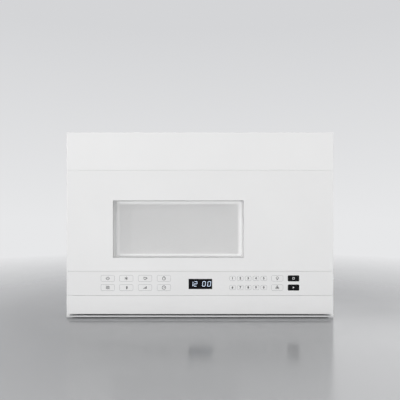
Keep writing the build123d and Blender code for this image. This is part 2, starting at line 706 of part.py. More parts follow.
with BuildPart() as transformer_core:
    with BuildSketch(Plane.XY.offset(SHEET)):
        with Locations((X_TRANSFORMER, Y_TRANSFORMER)):
            Rectangle(CORE_W, CORE_D + 2 * CORE_BASE_LAP)
    extrude(amount=CORE_BASE_T)
    with BuildSketch(front_plane(Y_TRANSFORMER + CORE_D / 2)):
        with Locations((X_TRANSFORMER, Z_CORE + CORE_H / 2)):
            Rectangle(CORE_W, CORE_H)
            with GridLocations(CORE_LEG + CORE_WINDOW_W, 0, 2, 1):
                Rectangle(CORE_WINDOW_W, CORE_H - CORE_LEG, mode=Mode.SUBTRACT)
    extrude(amount=CORE_D)
save(transformer_core, "transformer_core")

COIL_GAP = 4.0
COIL_CLEAR = 0.5
COIL_CLIP = 8.0
COIL_H = (CORE_H - CORE_LEG - COIL_GAP - 2 * COIL_CLEAR) / 2

with BuildPart() as transformer_windings:
    z_coil = Z_CORE + CORE_LEG / 2 + COIL_CLEAR
    for z in (z_coil, z_coil + COIL_H + COIL_GAP):
        with BuildSketch(Plane.XY.offset(z)):
            half_w = CORE_LEG / 2 + CORE_WINDOW_W - COIL_CLEAR
            y0 = Y_TRANSFORMER - CORE_D / 2 - COIL_BULGE
            y1 = Y_TRANSFORMER + CORE_D / 2 + COIL_BULGE
            clipped(X_TRANSFORMER - half_w, X_TRANSFORMER + half_w, y0, y1, COIL_CLIP)
            with Locations((X_TRANSFORMER, Y_TRANSFORMER)):
                Rectangle(CORE_LEG, CORE_D, mode=Mode.SUBTRACT)
        extrude(amount=COIL_H)
save(transformer_windings, "transformer_windings")

# Capacitor in its clamp
CAP_SIDE_GAP = 16.0
CAP_SPACING = 120.0  # behind the transformer
X_CAP = X_RIGHT - SHEET - CAP_SIDE_GAP - CAP_W / 2
Y_CAP = Y_TRANSFORMER + CAP_SPACING
TAB_W = 6.3
TAB_T = 0.8
TAB_H = 12.0
CLAMP_T = 1.5
CLAMP_H = 14.0
CLAMP_Z = 40.0

with BuildPart() as capacitor:
    with BuildSketch(Plane.XY.offset(SHEET)):
        with Locations((X_CAP, Y_CAP)):
            SlotOverall(CAP_W, CAP_D)
    extrude(amount=CAP_H)
    with BuildSketch(Plane.XY.offset(SHEET + CAP_H)):
        with Locations((X_CAP, Y_CAP)):
            with GridLocations(CAP_W / 2, 0, 2, 1):
                Rectangle(TAB_W, TAB_T)
    extrude(amount=TAB_H)
save(capacitor, "capacitor")

# A strap bent round the can's flat sides, with a leg down to the base plate
with BuildPart() as capacitor_clamp:
    x_open = X_CAP - (CAP_W - CAP_D) / 2
    x_bend = X_CAP + CAP_W / 2 + CLAMP_T
    half = CAP_D / 2
    with BuildSketch(Plane.XY.offset(CLAMP_Z)):
        span(x_open, x_bend, Y_CAP - half - CLAMP_T, Y_CAP + half + CLAMP_T)
        span(x_open, x_bend - CLAMP_T, Y_CAP - half, Y_CAP + half, mode=Mode.SUBTRACT)
    extrude(amount=CLAMP_H)
    y_leg = Y_CAP + half
    with BuildSketch(front_plane(y_leg + CLAMP_T)):
        span(X_CAP - CLAMP_H / 2, X_CAP + CLAMP_H / 2, SHEET, CLAMP_Z + CLAMP_H)
    extrude(amount=CLAMP_T)
    with BuildSketch(Plane.XY.offset(SHEET)):
        span(X_CAP - CLAMP_H / 2, X_CAP + CLAMP_H / 2, y_leg, y_leg + CLAMP_H)
    extrude(amount=CLAMP_T)
save(capacitor_clamp, "capacitor_clamp")

# Power board on posts over the liner
BOARD_POST_H = 8.0
BOARD_POST_W = 6.0
BOARD_POST_INSET = 6.0
POWER_BOARD_W = 120.0
POWER_BOARD_D = 90.0
POWER_BOARD_SIDE_GAP = 20.0
POWER_BOARD_SETBACK = 24.0
X_POWER_BOARD = X_CAVITY_R - POWER_BOARD_W / 2 - POWER_BOARD_SIDE_GAP
Y_POWER_BOARD = Y_CAVITY_F + POWER_BOARD_D / 2 + POWER_BOARD_SETBACK
Z_POWER_BOARD = Z_OVER + BOARD_POST_H
RELAYS = 4
RELAY_W = 20.0
RELAY_D = 16.0
RELAY_H = 17.0
RELAY_PITCH = 26.0
PART_MARGIN = 10.0  # of the parts on the board from its edges
STEPDOWN_W = 36.0
STEPDOWN_D = 30.0
STEPDOWN_H = 28.0
SMOOTHER_R = 8.0
SMOOTHER_H = 20.0
SMOOTHER_PITCH = 24.0

with BuildPart() as power_board:
    with BuildSketch(Plane.XY.offset(Z_OVER)):
        with Locations((X_POWER_BOARD, Y_POWER_BOARD)):
            m = 2 * BOARD_POST_INSET
            with GridLocations(POWER_BOARD_W - m, POWER_BOARD_D - m, 2, 2):
                Rectangle(BOARD_POST_W, BOARD_POST_W)
    extrude(amount=BOARD_POST_H)
    with BuildSketch(Plane.XY.offset(Z_POWER_BOARD)):
        with Locations((X_POWER_BOARD, Y_POWER_BOARD)):
            Rectangle(POWER_BOARD_W, POWER_BOARD_D)
    extrude(amount=BOARD_T)
    # relays along its rear edge, the control transformer and capacitors along its front edge
    z_parts = Z_POWER_BOARD + BOARD_T
    y_rear_row = Y_POWER_BOARD + POWER_BOARD_D / 2 - PART_MARGIN - RELAY_D / 2
    y_front_row = Y_POWER_BOARD - POWER_BOARD_D / 2 + PART_MARGIN + STEPDOWN_D / 2
    on_board = (Align.CENTER, Align.CENTER, Align.MIN)
    with Locations((X_POWER_BOARD, y_rear_row, z_parts)):
        with GridLocations(RELAY_PITCH, 0, RELAYS, 1):
            Box(RELAY_W, RELAY_D, RELAY_H, align=on_board)
    with Locations((X_POWER_BOARD - POWER_BOARD_W / 4, y_front_row, z_parts)):
        Box(STEPDOWN_W, STEPDOWN_D, STEPDOWN_H, align=on_board)
    with Locations((X_POWER_BOARD + POWER_BOARD_W / 4, y_front_row, z_parts)):
        with GridLocations(SMOOTHER_PITCH, 0, 2, 1):
            Cylinder(SMOOTHER_R, SMOOTHER_H, align=on_board)
save(power_board, "power_board")

# Cavity lamp behind its guard
LAMP_PLATE = 56.0
LAMP_CLEAR = 12.0  # more room in the bridge than the bulb's length
BULB_R = 10.0
BULB_L = 30.0
SOCKET_R = 9.0
SOCKET_SIDES = 8
SOCKET_L = 22.0

with BuildPart() as cavity_lamp:
    # a bridge over the lamp port with the socket on it
    with BuildSketch(front_plane(Y_LAMP + LAMP_PORT / 4)):
        x0 = X_BAY
        x1 = X_BAY + BULB_L + LAMP_CLEAR
        z0 = Z_LAMP - LAMP_PLATE / 2
        z1 = Z_LAMP + LAMP_PLATE / 2
        span(x0, x1, z0, z1)
        span(x0, x1 - SHEET, z0 + SHEET, z1 - SHEET, mode=Mode.SUBTRACT)
    extrude(amount=LAMP_PORT / 2)
    with BuildSketch(side_plane(x1 - SHEET)):
        with Locations((Y_LAMP, Z_LAMP)):
            RegularPolygon(SOCKET_R, SOCKET_SIDES)
    extrude(amount=-SOCKET_L / 2)
    with BuildSketch(side_plane(x1 - SHEET - SOCKET_L / 2)):
        with Locations((Y_LAMP, Z_LAMP)):
            Circle(BULB_R)
    extrude(amount=-BULB_L / 2)
save(cavity_lamp, "cavity_lamp")

# Turntable motor under the dish
Z_MOTOR_TOP = Z_DISH - SHEET
STEM_SOCKET = 8.0
EAR_SPAN = 72.0  # over the two ears that its screws go through
EAR_W = 12.0
TERMINAL_W = 16.0
TERMINAL_D = 7.0
TERMINAL_INSET = 3.0

with BuildPart() as turntable_motor:
    with BuildSketch(Plane.XY.offset(Z_MOTOR_TOP)):
        with Locations((X_CAVITY, Y_TABLE)):
            Rectangle(MOTOR_W, MOTOR_W)
            Rectangle(EAR_SPAN, EAR_W)
    extrude(amount=-MOTOR_H)
    with Locations((X_CAVITY, Y_TABLE, Z_MOTOR_TOP)):
        Hole(STEM_R + RUNNING, depth=STEM_SOCKET)
    with BuildSketch(front_plane(Y_TABLE - MOTOR_W / 2)):
        half = TERMINAL_W / 2
        z0 = Z_MOTOR_TOP - MOTOR_H + TERMINAL_INSET
        span(X_CAVITY - half, X_CAVITY + half, z0, Z_MOTOR_TOP - TERMINAL_INSET)
    extrude(amount=TERMINAL_D)
save(turntable_motor, "turntable_motor")

# Cooktop light: a reflector with a bulb, over a lens in the base plate
REFLECTOR_H = 38.0
REFLECTOR_DRAFT = 6.0

with BuildPart() as cooktop_light:
    with BuildSketch(Plane.XY.offset(SHEET + LIGHT_T)):
        with Locations((X_CAVITY, Y_LIGHT)):
            Rectangle(LIGHT_W + 2 * LIGHT_LIP, LIGHT_D + 2 * LIGHT_LIP)
    extrude(amount=REFLECTOR_H, taper=REFLECTOR_DRAFT)
    offset(amount=-SHEET, openings=cooktop_light.faces().sort_by(Axis.Z)[0])
    with BuildSketch(Plane.XY.offset(SHEET + LIGHT_T + REFLECTOR_H - SHEET)):
        with Locations((X_CAVITY, Y_LIGHT)):
            RegularPolygon(SOCKET_R, SOCKET_SIDES)
    extrude(amount=-REFLECTOR_H / 2)
save(cooktop_light, "cooktop_light")

with BuildPart() as light_lens:
    with BuildSketch(Plane.XY.offset(SHEET)):
        with Locations((X_CAVITY, Y_LIGHT)):
            Rectangle(LIGHT_W + 2 * LIGHT_LIP, LIGHT_D + 2 * LIGHT_LIP)
    extrude(amount=LIGHT_T)
    with BuildSketch(Plane.XY.offset(SHEET)):
        with Locations((X_CAVITY, Y_LIGHT)):
            Rectangle(LIGHT_W - 2 * SLIDE, LIGHT_D - 2 * SLIDE)
    extrude(amount=-SHEET / 2)
save(light_lens, "light_lens")

FILTER_PAD = 2.0
PULL_TAB_W = 24.0
PULL_TAB_D = 8.0

for side, x in zip(("left", "right"), X_FILTERS):
    with BuildPart() as grease_filter:
        with BuildSketch(Plane.XY):
            with Locations((x, Y_FILTER)):
                Rectangle(FILTER_W - 2 * SLACK, FILTER_D - 2 * SLACK)
        extrude(amount=FILTER_T)
        # the pad of mesh lies inside a folded frame, with a pull tab at its front
        for z, depth in ((0, FILTER_PAD), (FILTER_T, -FILTER_PAD)):
            with BuildSketch(Plane.XY.offset(z)):
                with Locations((x, Y_FILTER)):
                    m = 2 * (SLACK + FILTER_FRAME)
                    Rectangle(FILTER_W - m, FILTER_D - m)
            extrude(amount=depth, mode=Mode.SUBTRACT)
        with BuildSketch(Plane.XY):
            y_tab = Y_FILTER - FILTER_D / 2 + SLACK + FILTER_FRAME
            span(x - PULL_TAB_W / 2, x + PULL_TAB_W / 2, y_tab, y_tab + PULL_TAB_D)
        extrude(amount=FILTER_PAD)
    save(grease_filter, f"grease_filter_{side}")

# ------------------------------------------------------------------ turntable
with BuildPart() as drive_coupler:
    z_hub = Z_TRAY - ROLLER_CLEAR - COUPLER_H
    with BuildSketch(Plane.XY.offset(z_hub)):
        with Locations((X_CAVITY, Y_TABLE)):
            Circle(COUPLER_HUB_R)
            with PolarLocations(COUPLER_R / 2, COUPLER_LOBES):
                Rectangle(COUPLER_R, COUPLER_LOBE_W)
    extrude(amount=COUPLER_H)
    with Locations((X_CAVITY, Y_TABLE, z_hub)):
        Cylinder(
            STEM_R,
            z_hub - Z_MOTOR_TOP + STEM_SOCKET - SLACK,
            align=(Align.CENTER, Align.CENTER, Align.MAX),
        )
save(drive_coupler, "drive_coupler")

LUG_W = 7.0  # lugs under the tray, each between two lobes of the coupler
LUG_H = 4.0
LUG_L = 5.5

with BuildPart() as glass_tray:
    r0 = TRAY_R - TRAY_RIM_FLARE
    with BuildSketch(Plane.XZ.offset(-Y_TABLE)):
        with BuildLine(Plane.XZ.offset(-Y_TABLE)) as rim:
            base = Line((X_CAVITY, Z_TRAY), (X_CAVITY + r0, Z_TRAY))
            outside = Line(base @ 1, (X_CAVITY + TRAY_R, Z_TRAY + TRAY_RIM_H))
            top = Line(outside @ 1, (X_CAVITY + TRAY_R - TRAY_T, Z_TRAY + TRAY_RIM_H))
            inside = Line(top @ 1, (X_CAVITY + r0 - TRAY_T / 2, Z_TRAY + TRAY_T))
            flat = Line(inside @ 1, (X_CAVITY, Z_TRAY + TRAY_T))
            Line(flat @ 1, base @ 0)
        make_face()
    revolve(axis=Axis((X_CAVITY, Y_TABLE, 0), (0, 0, 1)))
    with BuildSketch(Plane.XY.offset(Z_TRAY)):
        with Locations((X_CAVITY, Y_TABLE)):
            lug_r = COUPLER_R - LUG_L / 2 - SLACK
            with PolarLocations(lug_r, COUPLER_LOBES, start_angle=180 / COUPLER_LOBES):
                Rectangle(LUG_L, LUG_W)
    extrude(amount=-LUG_H)
save(glass_tray, "glass_tray")

# Guide with three arms that keeps the rollers apart; it turns freely round the coupler
GUIDE_HUB_GAP = 5.0
GUIDE_HUB_R = COUPLER_R + GUIDE_HUB_GAP
ROLLER_ANGLES = [90, 210, 330]
AXLE_END = 2.0  # of the axle beyond its roller
AXLE_SIDES = 6  # flats on a moulded axle
AXLE_L = ROLLER_T + 2 * SLIDE + AXLE_END
ARM_END_R = ROLLER_TRACK_R - ROLLER_T / 2 - SLIDE

with BuildPart() as roller_guide:
    with BuildSketch(Plane.XY.offset(Z_ROLLER - GUIDE_ARM_T / 2)):
        with Locations((X_CAVITY, Y_TABLE)):
            Circle(GUIDE_HUB_R + GUIDE_ARM_W)
            with PolarLocations((ARM_END_R + GUIDE_HUB_R) / 2, 3, start_angle=ROLLER_ANGLES[0]):
                Rectangle(ARM_END_R - GUIDE_HUB_R, GUIDE_ARM_W)
            Circle(GUIDE_HUB_R, mode=Mode.SUBTRACT)
    extrude(amount=GUIDE_ARM_T)
    # axles that stand out of the arms
    for angle in ROLLER_ANGLES:
        outward = Vector(cos(radians(angle)), sin(radians(angle)), 0)
        foot = Vector(X_CAVITY, Y_TABLE, Z_ROLLER) + outward * ARM_END_R
        with BuildSketch(Plane(origin=foot, z_dir=outward)):
            RegularPolygon(ROLLER_AXLE_R, AXLE_SIDES)
        extrude(amount=AXLE_L)
save(roller_guide, "roller_guide")

for i, angle in enumerate(ROLLER_ANGLES, start=1):
    outward = Vector(cos(radians(angle)), sin(radians(angle)), 0)
    hub = Vector(X_CAVITY, Y_TABLE, Z_ROLLER) + outward * (ROLLER_TRACK_R - ROLLER_T / 2)
    with BuildPart() as roller:
        with BuildSketch(Plane(origin=hub, z_dir=outward)):
            Circle(ROLLER_R)
            Circle(ROLLER_AXLE_R + RUNNING, mode=Mode.SUBTRACT)
        extrude(amount=ROLLER_T)
    save(roller, f"roller_{i}")

# ------------------------------------------------------------------ door, moulded parts
X_FRAME_IN = X_LEFT + DOOR_WALL  # inner faces of the door frame's side walls
X_POCKET_R = X_RIGHT - POCKET_INSET
X_POCKET_L = X_POCKET_R - POCKET_W
Y_POCKET_F = Y_FRONT + RAIL_D + POCKET_WALL
Y_POCKET_B = Y_POCKET_F + POCKET_D
RIB_T = 2.0
POST_W = 7.0
BOARD_POST_MARGIN = 8.0
Z_BOARD = Z_STRIP + (STRIP_H - BOARD_H) / 2
BOARD_POSTS = [BOARD_X0 + BOARD_POST_MARGIN, X_WINDOW, BOARD_X1 - BOARD_POST_MARGIN]
DISPLAY_CLEAR = 1.0

with BuildPart() as door_frame:
    # tub, open to the rear, with the edge beside the hinge rounded
    with BuildSketch(Plane.XY.offset(Z_GRIP)) as tub:
        span(X_LEFT, X_RIGHT, Y_SKIN, Y_DOOR_REAR)
        rear_corners = tub.vertices().group_by(Axis.Y)[-1]
        fillet(rear_corners.sort_by(Axis.X)[0], radius=HINGE_EDGE_R)
    extrude(amount=Z_DOOR_TOP - Z_GRIP)
    with BuildSketch(Plane.XY.offset(Z_GRIP + DOOR_WALL)) as hollow:
        span(X_FRAME_IN, X_RIGHT - DOOR_WALL, Y_WALL_REAR, Y_DOOR_REAR - DOOR_WALL)
        rear_corners = hollow.vertices().group_by(Axis.Y)[-1]
        fillet(rear_corners.sort_by(Axis.X)[0], radius=HINGE_EDGE_R - DOOR_WALL)
        x_open = X_LEFT + HINGE_EDGE_R
        span(x_open, X_RIGHT - DOOR_WALL, Y_DOOR_REAR - 2 * DOOR_WALL, Y_DOOR_REAR)
    extrude(amount=Z_DOOR_TOP - Z_GRIP - 2 * DOOR_WALL, mode=Mode.SUBTRACT)
    # window tunnel, with a flange behind the glass
    with BuildSketch(front_plane(Y_WALL_REAR)):
        around_window(GLASS_LAP + TUNNEL_WALL)
    extrude(amount=-TUNNEL_WALL)
    with BuildSketch(front_plane(Y_WALL_REAR)):
        around_window(TUNNEL_WALL)
    extrude(amount=Y_WALL_REAR - Y_SCREEN, taper=TUNNEL_DRAFT)
    with BuildSketch(front_plane(Y_WALL_REAR)):
        around_window(GLASS_LAP)
    extrude(amount=DOOR_WALL, mode=Mode.SUBTRACT)
    with BuildSketch(front_plane(Y_WALL_REAR)):
        around_window(0)
    extrude(amount=Y_WALL_REAR - Y_SCREEN, taper=TUNNEL_DRAFT, mode=Mode.SUBTRACT)
    # ribs from the tunnel to the walls; the choke rests on their rear edges
    with BuildSketch(front_plane(Y_CHANNEL)):
        z_mid = (Z_WINDOW_B + Z_WINDOW_T) / 2
        span(X_FRAME_IN, X_WINDOW_L - TUNNEL_WALL / 2, z_mid - RIB_T / 2, z_mid + RIB_T / 2)
        span(X_WINDOW_R + TUNNEL_WALL / 2, X_RIGHT - DOOR_WALL, z_mid - RIB_T / 2, z_mid + RIB_T / 2)
        for x in (X_WINDOW_L, X_WINDOW, X_WINDOW_R):
            span(x - RIB_T / 2, x + RIB_T / 2, Z_WINDOW_T + TUNNEL_WALL / 2, Z_DOOR_TOP - DOOR_WALL)
            span(x - RIB_T / 2, x + RIB_T / 2, Z_GRIP + DOOR_WALL, FLOOR_Z - CHOKE_LAND)
    extrude(amount=Y_CHANNEL - Y_WALL_REAR)
    # display window, and posts that carry the touch board
    with BuildSketch(front_plane(Y_WALL_REAR)):
        with Locations((DISPLAY_X, Z_DISPLAY + DISPLAY_H / 2)):
            Rectangle(DISPLAY_W + 2 * DISPLAY_CLEAR, DISPLAY_H + 2 * DISPLAY_CLEAR)
    extrude(amount=DOOR_WALL, mode=Mode.SUBTRACT)
    with BuildSketch(front_plane(Y_BOARD)):
        for x in BOARD_POSTS:
            for z in (Z_BOARD + POST_W / 2, Z_BOARD + BOARD_H - POST_W / 2):
                with Locations((x, z)):
                    Rectangle(POST_W, POST_W)
    extrude(amount=Y_BOARD - Y_WALL_REAR)
    # bosses for the hinge bushes
    for z, length in ((Z_GRIP, BUSH_L), (Z_DOOR_TOP, -BUSH_L)):
        with BuildSketch(Plane.XY.offset(z)):
            with Locations((X_HINGE, Y_HINGE)):
                Circle(BOSS_R)
        extrude(amount=length)
        with BuildSketch(Plane.XY.offset(z)):
            with Locations((X_HINGE, Y_HINGE)):
                Circle(BUSH_R)
        extrude(amount=length, mode=Mode.SUBTRACT)
    # finger pocket, open downwards behind the rail
    w = POCKET_WALL
    with BuildSketch(Plane.XY.offset(Z_GRIP)):
        clipped(X_POCKET_L - w, X_POCKET_R + w, Y_POCKET_F - w, Y_POCKET_B + w, POCKET_CLIP + w / 2)
    extrude(amount=POCKET_H + w)
    with BuildSketch(Plane.XY.offset(Z_GRIP)):
        clipped(X_POCKET_L, X_POCKET_R, Y_POCKET_F, Y_POCKET_B, POCKET_CLIP)
    extrude(amount=POCKET_H, mode=Mode.SUBTRACT)
    # bottom rail under the front's lower edge, joined at its two ends
    with BuildSketch(side_plane(X_LEFT)) as rail:
        span(Y_FRONT, Y_FRONT + RAIL_D, RAIL_RISE, Z_RAIL_TOP)
        fillet(rail.vertices().sort_by(Axis.Y)[:2].sort_by(Axis.X)[0], radius=RAIL_R)
    extrude(amount=WIDTH)
    with BuildSketch(Plane.XY.offset(Z_RAIL_TOP)):
        for x in (X_LEFT, X_RIGHT - RAIL_END):
            span(x, x + RAIL_END, Y_FRONT, Y_FRONT + RAIL_D)
    extrude(amount=Z_GRIP - Z_RAIL_TOP)
save(door_frame, "door_frame")

with BuildPart() as window_panel:
    with BuildSketch(front_plane(Y_SKIN)):
        span(X_LEFT, X_RIGHT, Z_PANEL, Z_DOOR_TOP)
        around_window(0, radius=WINDOW_R, mode=Mode.SUBTRACT)
    extrude(amount=SKIN)
    sides = window_panel.faces().sort_by(Axis.Y)[0].edges().filter_by(Axis.Z)
    fillet([sides.sort_by(Axis.X)[0], sides.sort_by(Axis.X)[-1]], radius=EDGE_R)
save(window_panel, "window_panel")

with BuildPart() as control_strip:
    with BuildSketch(front_plane(Y_SKIN)):
        span(X_LEFT, X_RIGHT, Z_STRIP, Z_STRIP + STRIP_H)
        with Locations((DISPLAY_X, Z_DISPLAY + DISPLAY_H / 2)):
            Rectangle(DISPLAY_W, DISPLAY_H, mode=Mode.SUBTRACT)
    extrude(amount=SKIN)
    sides = control_strip.faces().sort_by(Axis.Y)[0].edges().filter_by(Axis.Z)
    fillet([sides.sort_by(Axis.X)[0], sides.sort_by(Axis.X)[-1]], radius=EDGE_R)
save(control_strip, "control_strip")

with BuildPart() as grip_strip:
    with BuildSketch(front_plane(Y_SKIN)):
        span(X_LEFT, X_RIGHT, Z_GRIP, Z_GRIP + GRIP_H)
    extrude(amount=SKIN)
    face_edges = grip_strip.faces().sort_by(Axis.Y)[0].edges()
    fillet(face_edges.filter_by(Axis.Z) + face_edges.sort_by(Axis.Z)[:1], radius=EDGE_R)
save(grip_strip, "grip_strip")

with BuildPart() as window_glass:
    with BuildSketch(front_plane(Y_WALL_REAR)):
        around_window(GLASS_LAP - SLIDE)
    extrude(amount=DOOR_WALL)
save(window_glass, "window_glass")

with BuildPart() as door_screen:
    with BuildSketch(front_plane(Y_PAN)):
        around_window(SCREEN_LAP - TUNNEL_IN)
    extrude(amount=SCREEN_T)
save(door_screen, "door_screen")

# ------------------------------------------------------------------ door, choke
CHOKE_INNER = -CHOKE_STEP  # of the land, in from the oven's mouth
CHOKE_TOP = CHOKE_COVER_T + SHEET  # the comb lies under its cover
CHOKE_RINGS = [
    # outer reach, inner reach, front and rear distance from the door's rear face
    (CHOKE_LAND, CHOKE_INNER, SHEET, 0.0),
    (CHOKE_INNER + SHEET, CHOKE_INNER, CHOKE_STEP, 0.0),
    (CHOKE_LAND, CHOKE_LAND - SHEET, CHOKE_DEPTH, 0.0),
    (CHOKE_REACH, CHOKE_LAND - SHEET, CHOKE_DEPTH, CHOKE_DEPTH - SHEET),
    (CHOKE_REACH, CHOKE_REACH - SHEET, CHOKE_DEPTH, CHOKE_COVER_T),
    (CHOKE_REACH, CHOKE_REACH - CHOKE_LIP, CHOKE_TOP, CHOKE_COVER_T),
]

with BuildPart() as choke_frame:
    for outer, inner, front, rear in CHOKE_RINGS:
        with BuildSketch(front_plane(Y_DOOR_REAR - rear)):
            choke_outline(outer)
            choke_outline(inner, mode=Mode.SUBTRACT)
        extrude(amount=front - rear)
    # pan with the opening that the screen covers
    with BuildSketch(front_plane(Y_PAN + SHEET)):
        choke_outline(CHOKE_INNER + SHEET)
        around_window(-TUNNEL_IN - SCREEN_BORDER + SLACK, mode=Mode.SUBTRACT)
    extrude(amount=SHEET)
    # comb: slots through the outer wall and its lip, on all four sides
    with BuildSketch(front_plane(Y_DOOR_REAR)):
        tooth = CHOKE_LIP + SHEET
        reach = CHOKE_REACH - CHOKE_LIP / 2
        for x in row(X_CAVITY_L, X_CAVITY_R, COMB_PITCH):
            with Locations((x, FLOOR_Z - reach), (x, Z_CEILING + reach)):
                Rectangle(COMB_SLOT, tooth)
        for z in row(FLOOR_Z, Z_CEILING, COMB_PITCH):
            with Locations((X_CAVITY_L - reach, z), (X_CAVITY_R + reach, z)):
                Rectangle(tooth, COMB_SLOT)
    extrude(amount=CHOKE_DEPTH - 3 * SHEET, mode=Mode.SUBTRACT)
save(choke_frame, "choke_frame")

with BuildPart() as choke_cover:
    with BuildSketch(front_plane(Y_DOOR_REAR)):
        choke_outline(CHOKE_REACH)
        choke_outline(CHOKE_LAND, mode=Mode.SUBTRACT)
    extrude(amount=CHOKE_COVER_T)
    # a rib that snaps into the channel
    with BuildSketch(front_plane(Y_DOOR_REAR - CHOKE_COVER_T)):
        choke_outline(CHOKE_LAND + 3 * SHEET)
        choke_outline(CHOKE_LAND + 2 * SHEET, mode=Mode.SUBTRACT)
    extrude(amount=CHOKE_DEPTH / 3)
save(choke_cover, "choke_cover")

with BuildPart() as inner_pane:
    with BuildSketch(front_plane(Y_PAN + SHEET + PANE_T)):
        choke_outline(CHOKE_INNER - SLIDE)
    extrude(amount=PANE_T)
save(inner_pane, "inner_pane")

# ------------------------------------------------------------------ door, inside
GUIDE_T = 3.0
GUIDE_H = 16.0
GUIDE_INSET = 8.0  # of the guides from the ends of the latch bar
Z_BAR0 = Z_HOOKS[0] - LATCH_BAR_MARGIN
Z_BAR1 = Z_HOOKS[1] + HOOK_H + LATCH_BAR_MARGIN
Y_COVER = Y_DOOR_REAR - REAR_COVER_T
Y_BAR_REAR = Y_COVER - SLIDE
Y_BAR_FRONT = Y_BAR_REAR - LATCH_BAR_D
SPRING_T = 0.6
SPRING_H = 14.0
SPRING_MARGIN = 1.0
X_COVER_L = X_LEFT + HINGE_EDGE_R + SLACK

with BuildPart() as door_rear_cover:
    # it closes the back of the door round three sides of the choke
    with BuildSketch(front_plane(Y_DOOR_REAR)):
        span(
            X_COVER_L,
            X_RIGHT - DOOR_WALL - SLIDE,
            Z_GRIP + DOOR_WALL + SLIDE,
            Z_DOOR_TOP - DOOR_WALL - SLIDE,
        )
        choke_outline(CHOKE_REACH + SLIDE, mode=Mode.SUBTRACT)
        span(X_CAVITY_L, X_CAVITY_R, Z_CEILING, HEIGHT, mode=Mode.SUBTRACT)
        for z in Z_HOOKS:
            span(
                X_LATCH - LATCH_HOLE_W / 2,
                X_LATCH + LATCH_HOLE_W / 2,
                z - LATCH_HOLE_LOW,
                z + HOOK_H + LATCH_HOLE_HIGH,
                mode=Mode.SUBTRACT,
            )
    extrude(amount=REAR_COVER_T)
    # guides that hold the latch bar, and the ledges that stop it and carry its spring
    half = HOOK_W / 2 + SLIDE
    for z in (Z_BAR0 + GUIDE_INSET, Z_BAR1 - GUIDE_INSET - GUIDE_H):
        with BuildSketch(Plane.XY.offset(z)):
            y_front = Y_BAR_FRONT - SLIDE - GUIDE_T
            span(X_LATCH - half - GUIDE_T, X_LATCH + half + GUIDE_T, y_front, Y_COVER)
            span(X_LATCH - half, X_LATCH + half, Y_BAR_FRONT - SLIDE, Y_COVER, mode=Mode.SUBTRACT)
        extrude(amount=GUIDE_H)
    with BuildSketch(side_plane(X_LATCH - half)):
        span(Y_BAR_FRONT, Y_COVER, Z_BAR0 - SLIDE - GUIDE_T, Z_BAR0 - SLIDE)
        span(Y_BAR_FRONT, Y_COVER, Z_BAR1 + SPRING_H, Z_BAR1 + SPRING_H + GUIDE_T)
    extrude(amount=2 * half)
save(door_rear_cover, "door_rear_cover")

HOOK_TIP_Y = Y_CAVITY_F + HOOK_REACH

with BuildPart() as latch_hooks:
    with BuildSketch(side_plane(X_LATCH - HOOK_W / 2)) as hooks:
        span(Y_BAR_FRONT, Y_BAR_REAR, Z_BAR0, Z_BAR1)
        for z in Z_HOOKS:
            with BuildLine():
                Polyline(
                    (Y_BAR_REAR, z),
                    (HOOK_TIP_Y - HOOK_BARB_L, z),
                    (HOOK_TIP_Y - HOOK_BARB_L, z - HOOK_BARB),
                    (HOOK_TIP_Y - HOOK_BARB_L / 2, z - HOOK_BARB),
                    (HOOK_TIP_Y, z + HOOK_H / 3),
                    (HOOK_TIP_Y, z + HOOK_H),
                    (Y_BAR_REAR, z + HOOK_H),
                    close=True,
                )
            make_face()
    extrude(amount=HOOK_W)
save(latch_hooks, "latch_hooks")

# A bowed strip that presses the bar down
with BuildPart() as latch_spring:
    y0 = Y_BAR_FRONT + SPRING_MARGIN
    y1 = Y_COVER - SPRING_MARGIN
    y_mid = (y0 + y1) / 2
    low = Z_BAR1
    high = Z_BAR1 + SPRING_H
    t = SPRING_T
    with BuildSketch(side_plane(X_LATCH - HOOK_W / 3)):
        with BuildLine():
            outer = ThreePointArc((y_mid, low), (y1, (low + high) / 2), (y_mid, high))
            Line(outer @ 1, (y_mid, high - t))
            ThreePointArc((y_mid, high - t), (y1 - t, (low + high) / 2), (y_mid, low + t))
            Line((y_mid, low + t), outer @ 0)
        make_face()
    extrude(amount=2 * HOOK_W / 3)
save(latch_spring, "latch_spring")

with BuildPart() as display_lens:
    with BuildSketch(front_plane(Y_SKIN)):
        with Locations((DISPLAY_X, Z_DISPLAY + DISPLAY_H / 2)):
            Rectangle(DISPLAY_W - 2 * LENS_GAP, DISPLAY_H - 2 * LENS_GAP)
    extrude(amount=LENS_T)
save(display_lens, "display_lens")

with BuildPart() as display_module:
    with BuildSketch(front_plane(Y_BOARD)):
        with Locations((DISPLAY_X, Z_DISPLAY + DISPLAY_H / 2)):
            Rectangle(DISPLAY_W, DISPLAY_H)
    extrude(amount=MODULE_D)
save(display_module, "display_module")

CHIP_W = 20.0
CHIP_T = 3.0
CONNECTOR_W = 30.0
CONNECTOR_H = 8.0
CONNECTOR_SPACING = 120.0

with BuildPart() as touch_board:
    with BuildSketch(front_plane(Y_BOARD + BOARD_T)):
        span(BOARD_X0, BOARD_X1, Z_BOARD, Z_BOARD + BOARD_H)
    extrude(amount=BOARD_T)
    with BuildSketch(front_plane(Y_BOARD + BOARD_T)):
        with Locations((DISPLAY_X, Z_BOARD + BOARD_H / 2)):
            Rectangle(CHIP_W, CHIP_W)
            with GridLocations(CONNECTOR_SPACING, 0, 2, 1):
                Rectangle(CONNECTOR_W, CONNECTOR_H)
    extrude(amount=-CHIP_T)
save(touch_board, "touch_board")

with BuildPart() as hinge_bushes:
    for z, length in ((Z_GRIP, BUSH_L), (Z_DOOR_TOP, -BUSH_L)):
        with BuildSketch(Plane.XY.offset(z)):
            with Locations((X_HINGE, Y_HINGE)):
                Circle(BUSH_R)
                Circle(PIN_R + RUNNING, mode=Mode.SUBTRACT)
        extrude(amount=length)
save(hinge_bushes, "hinge_bushes")

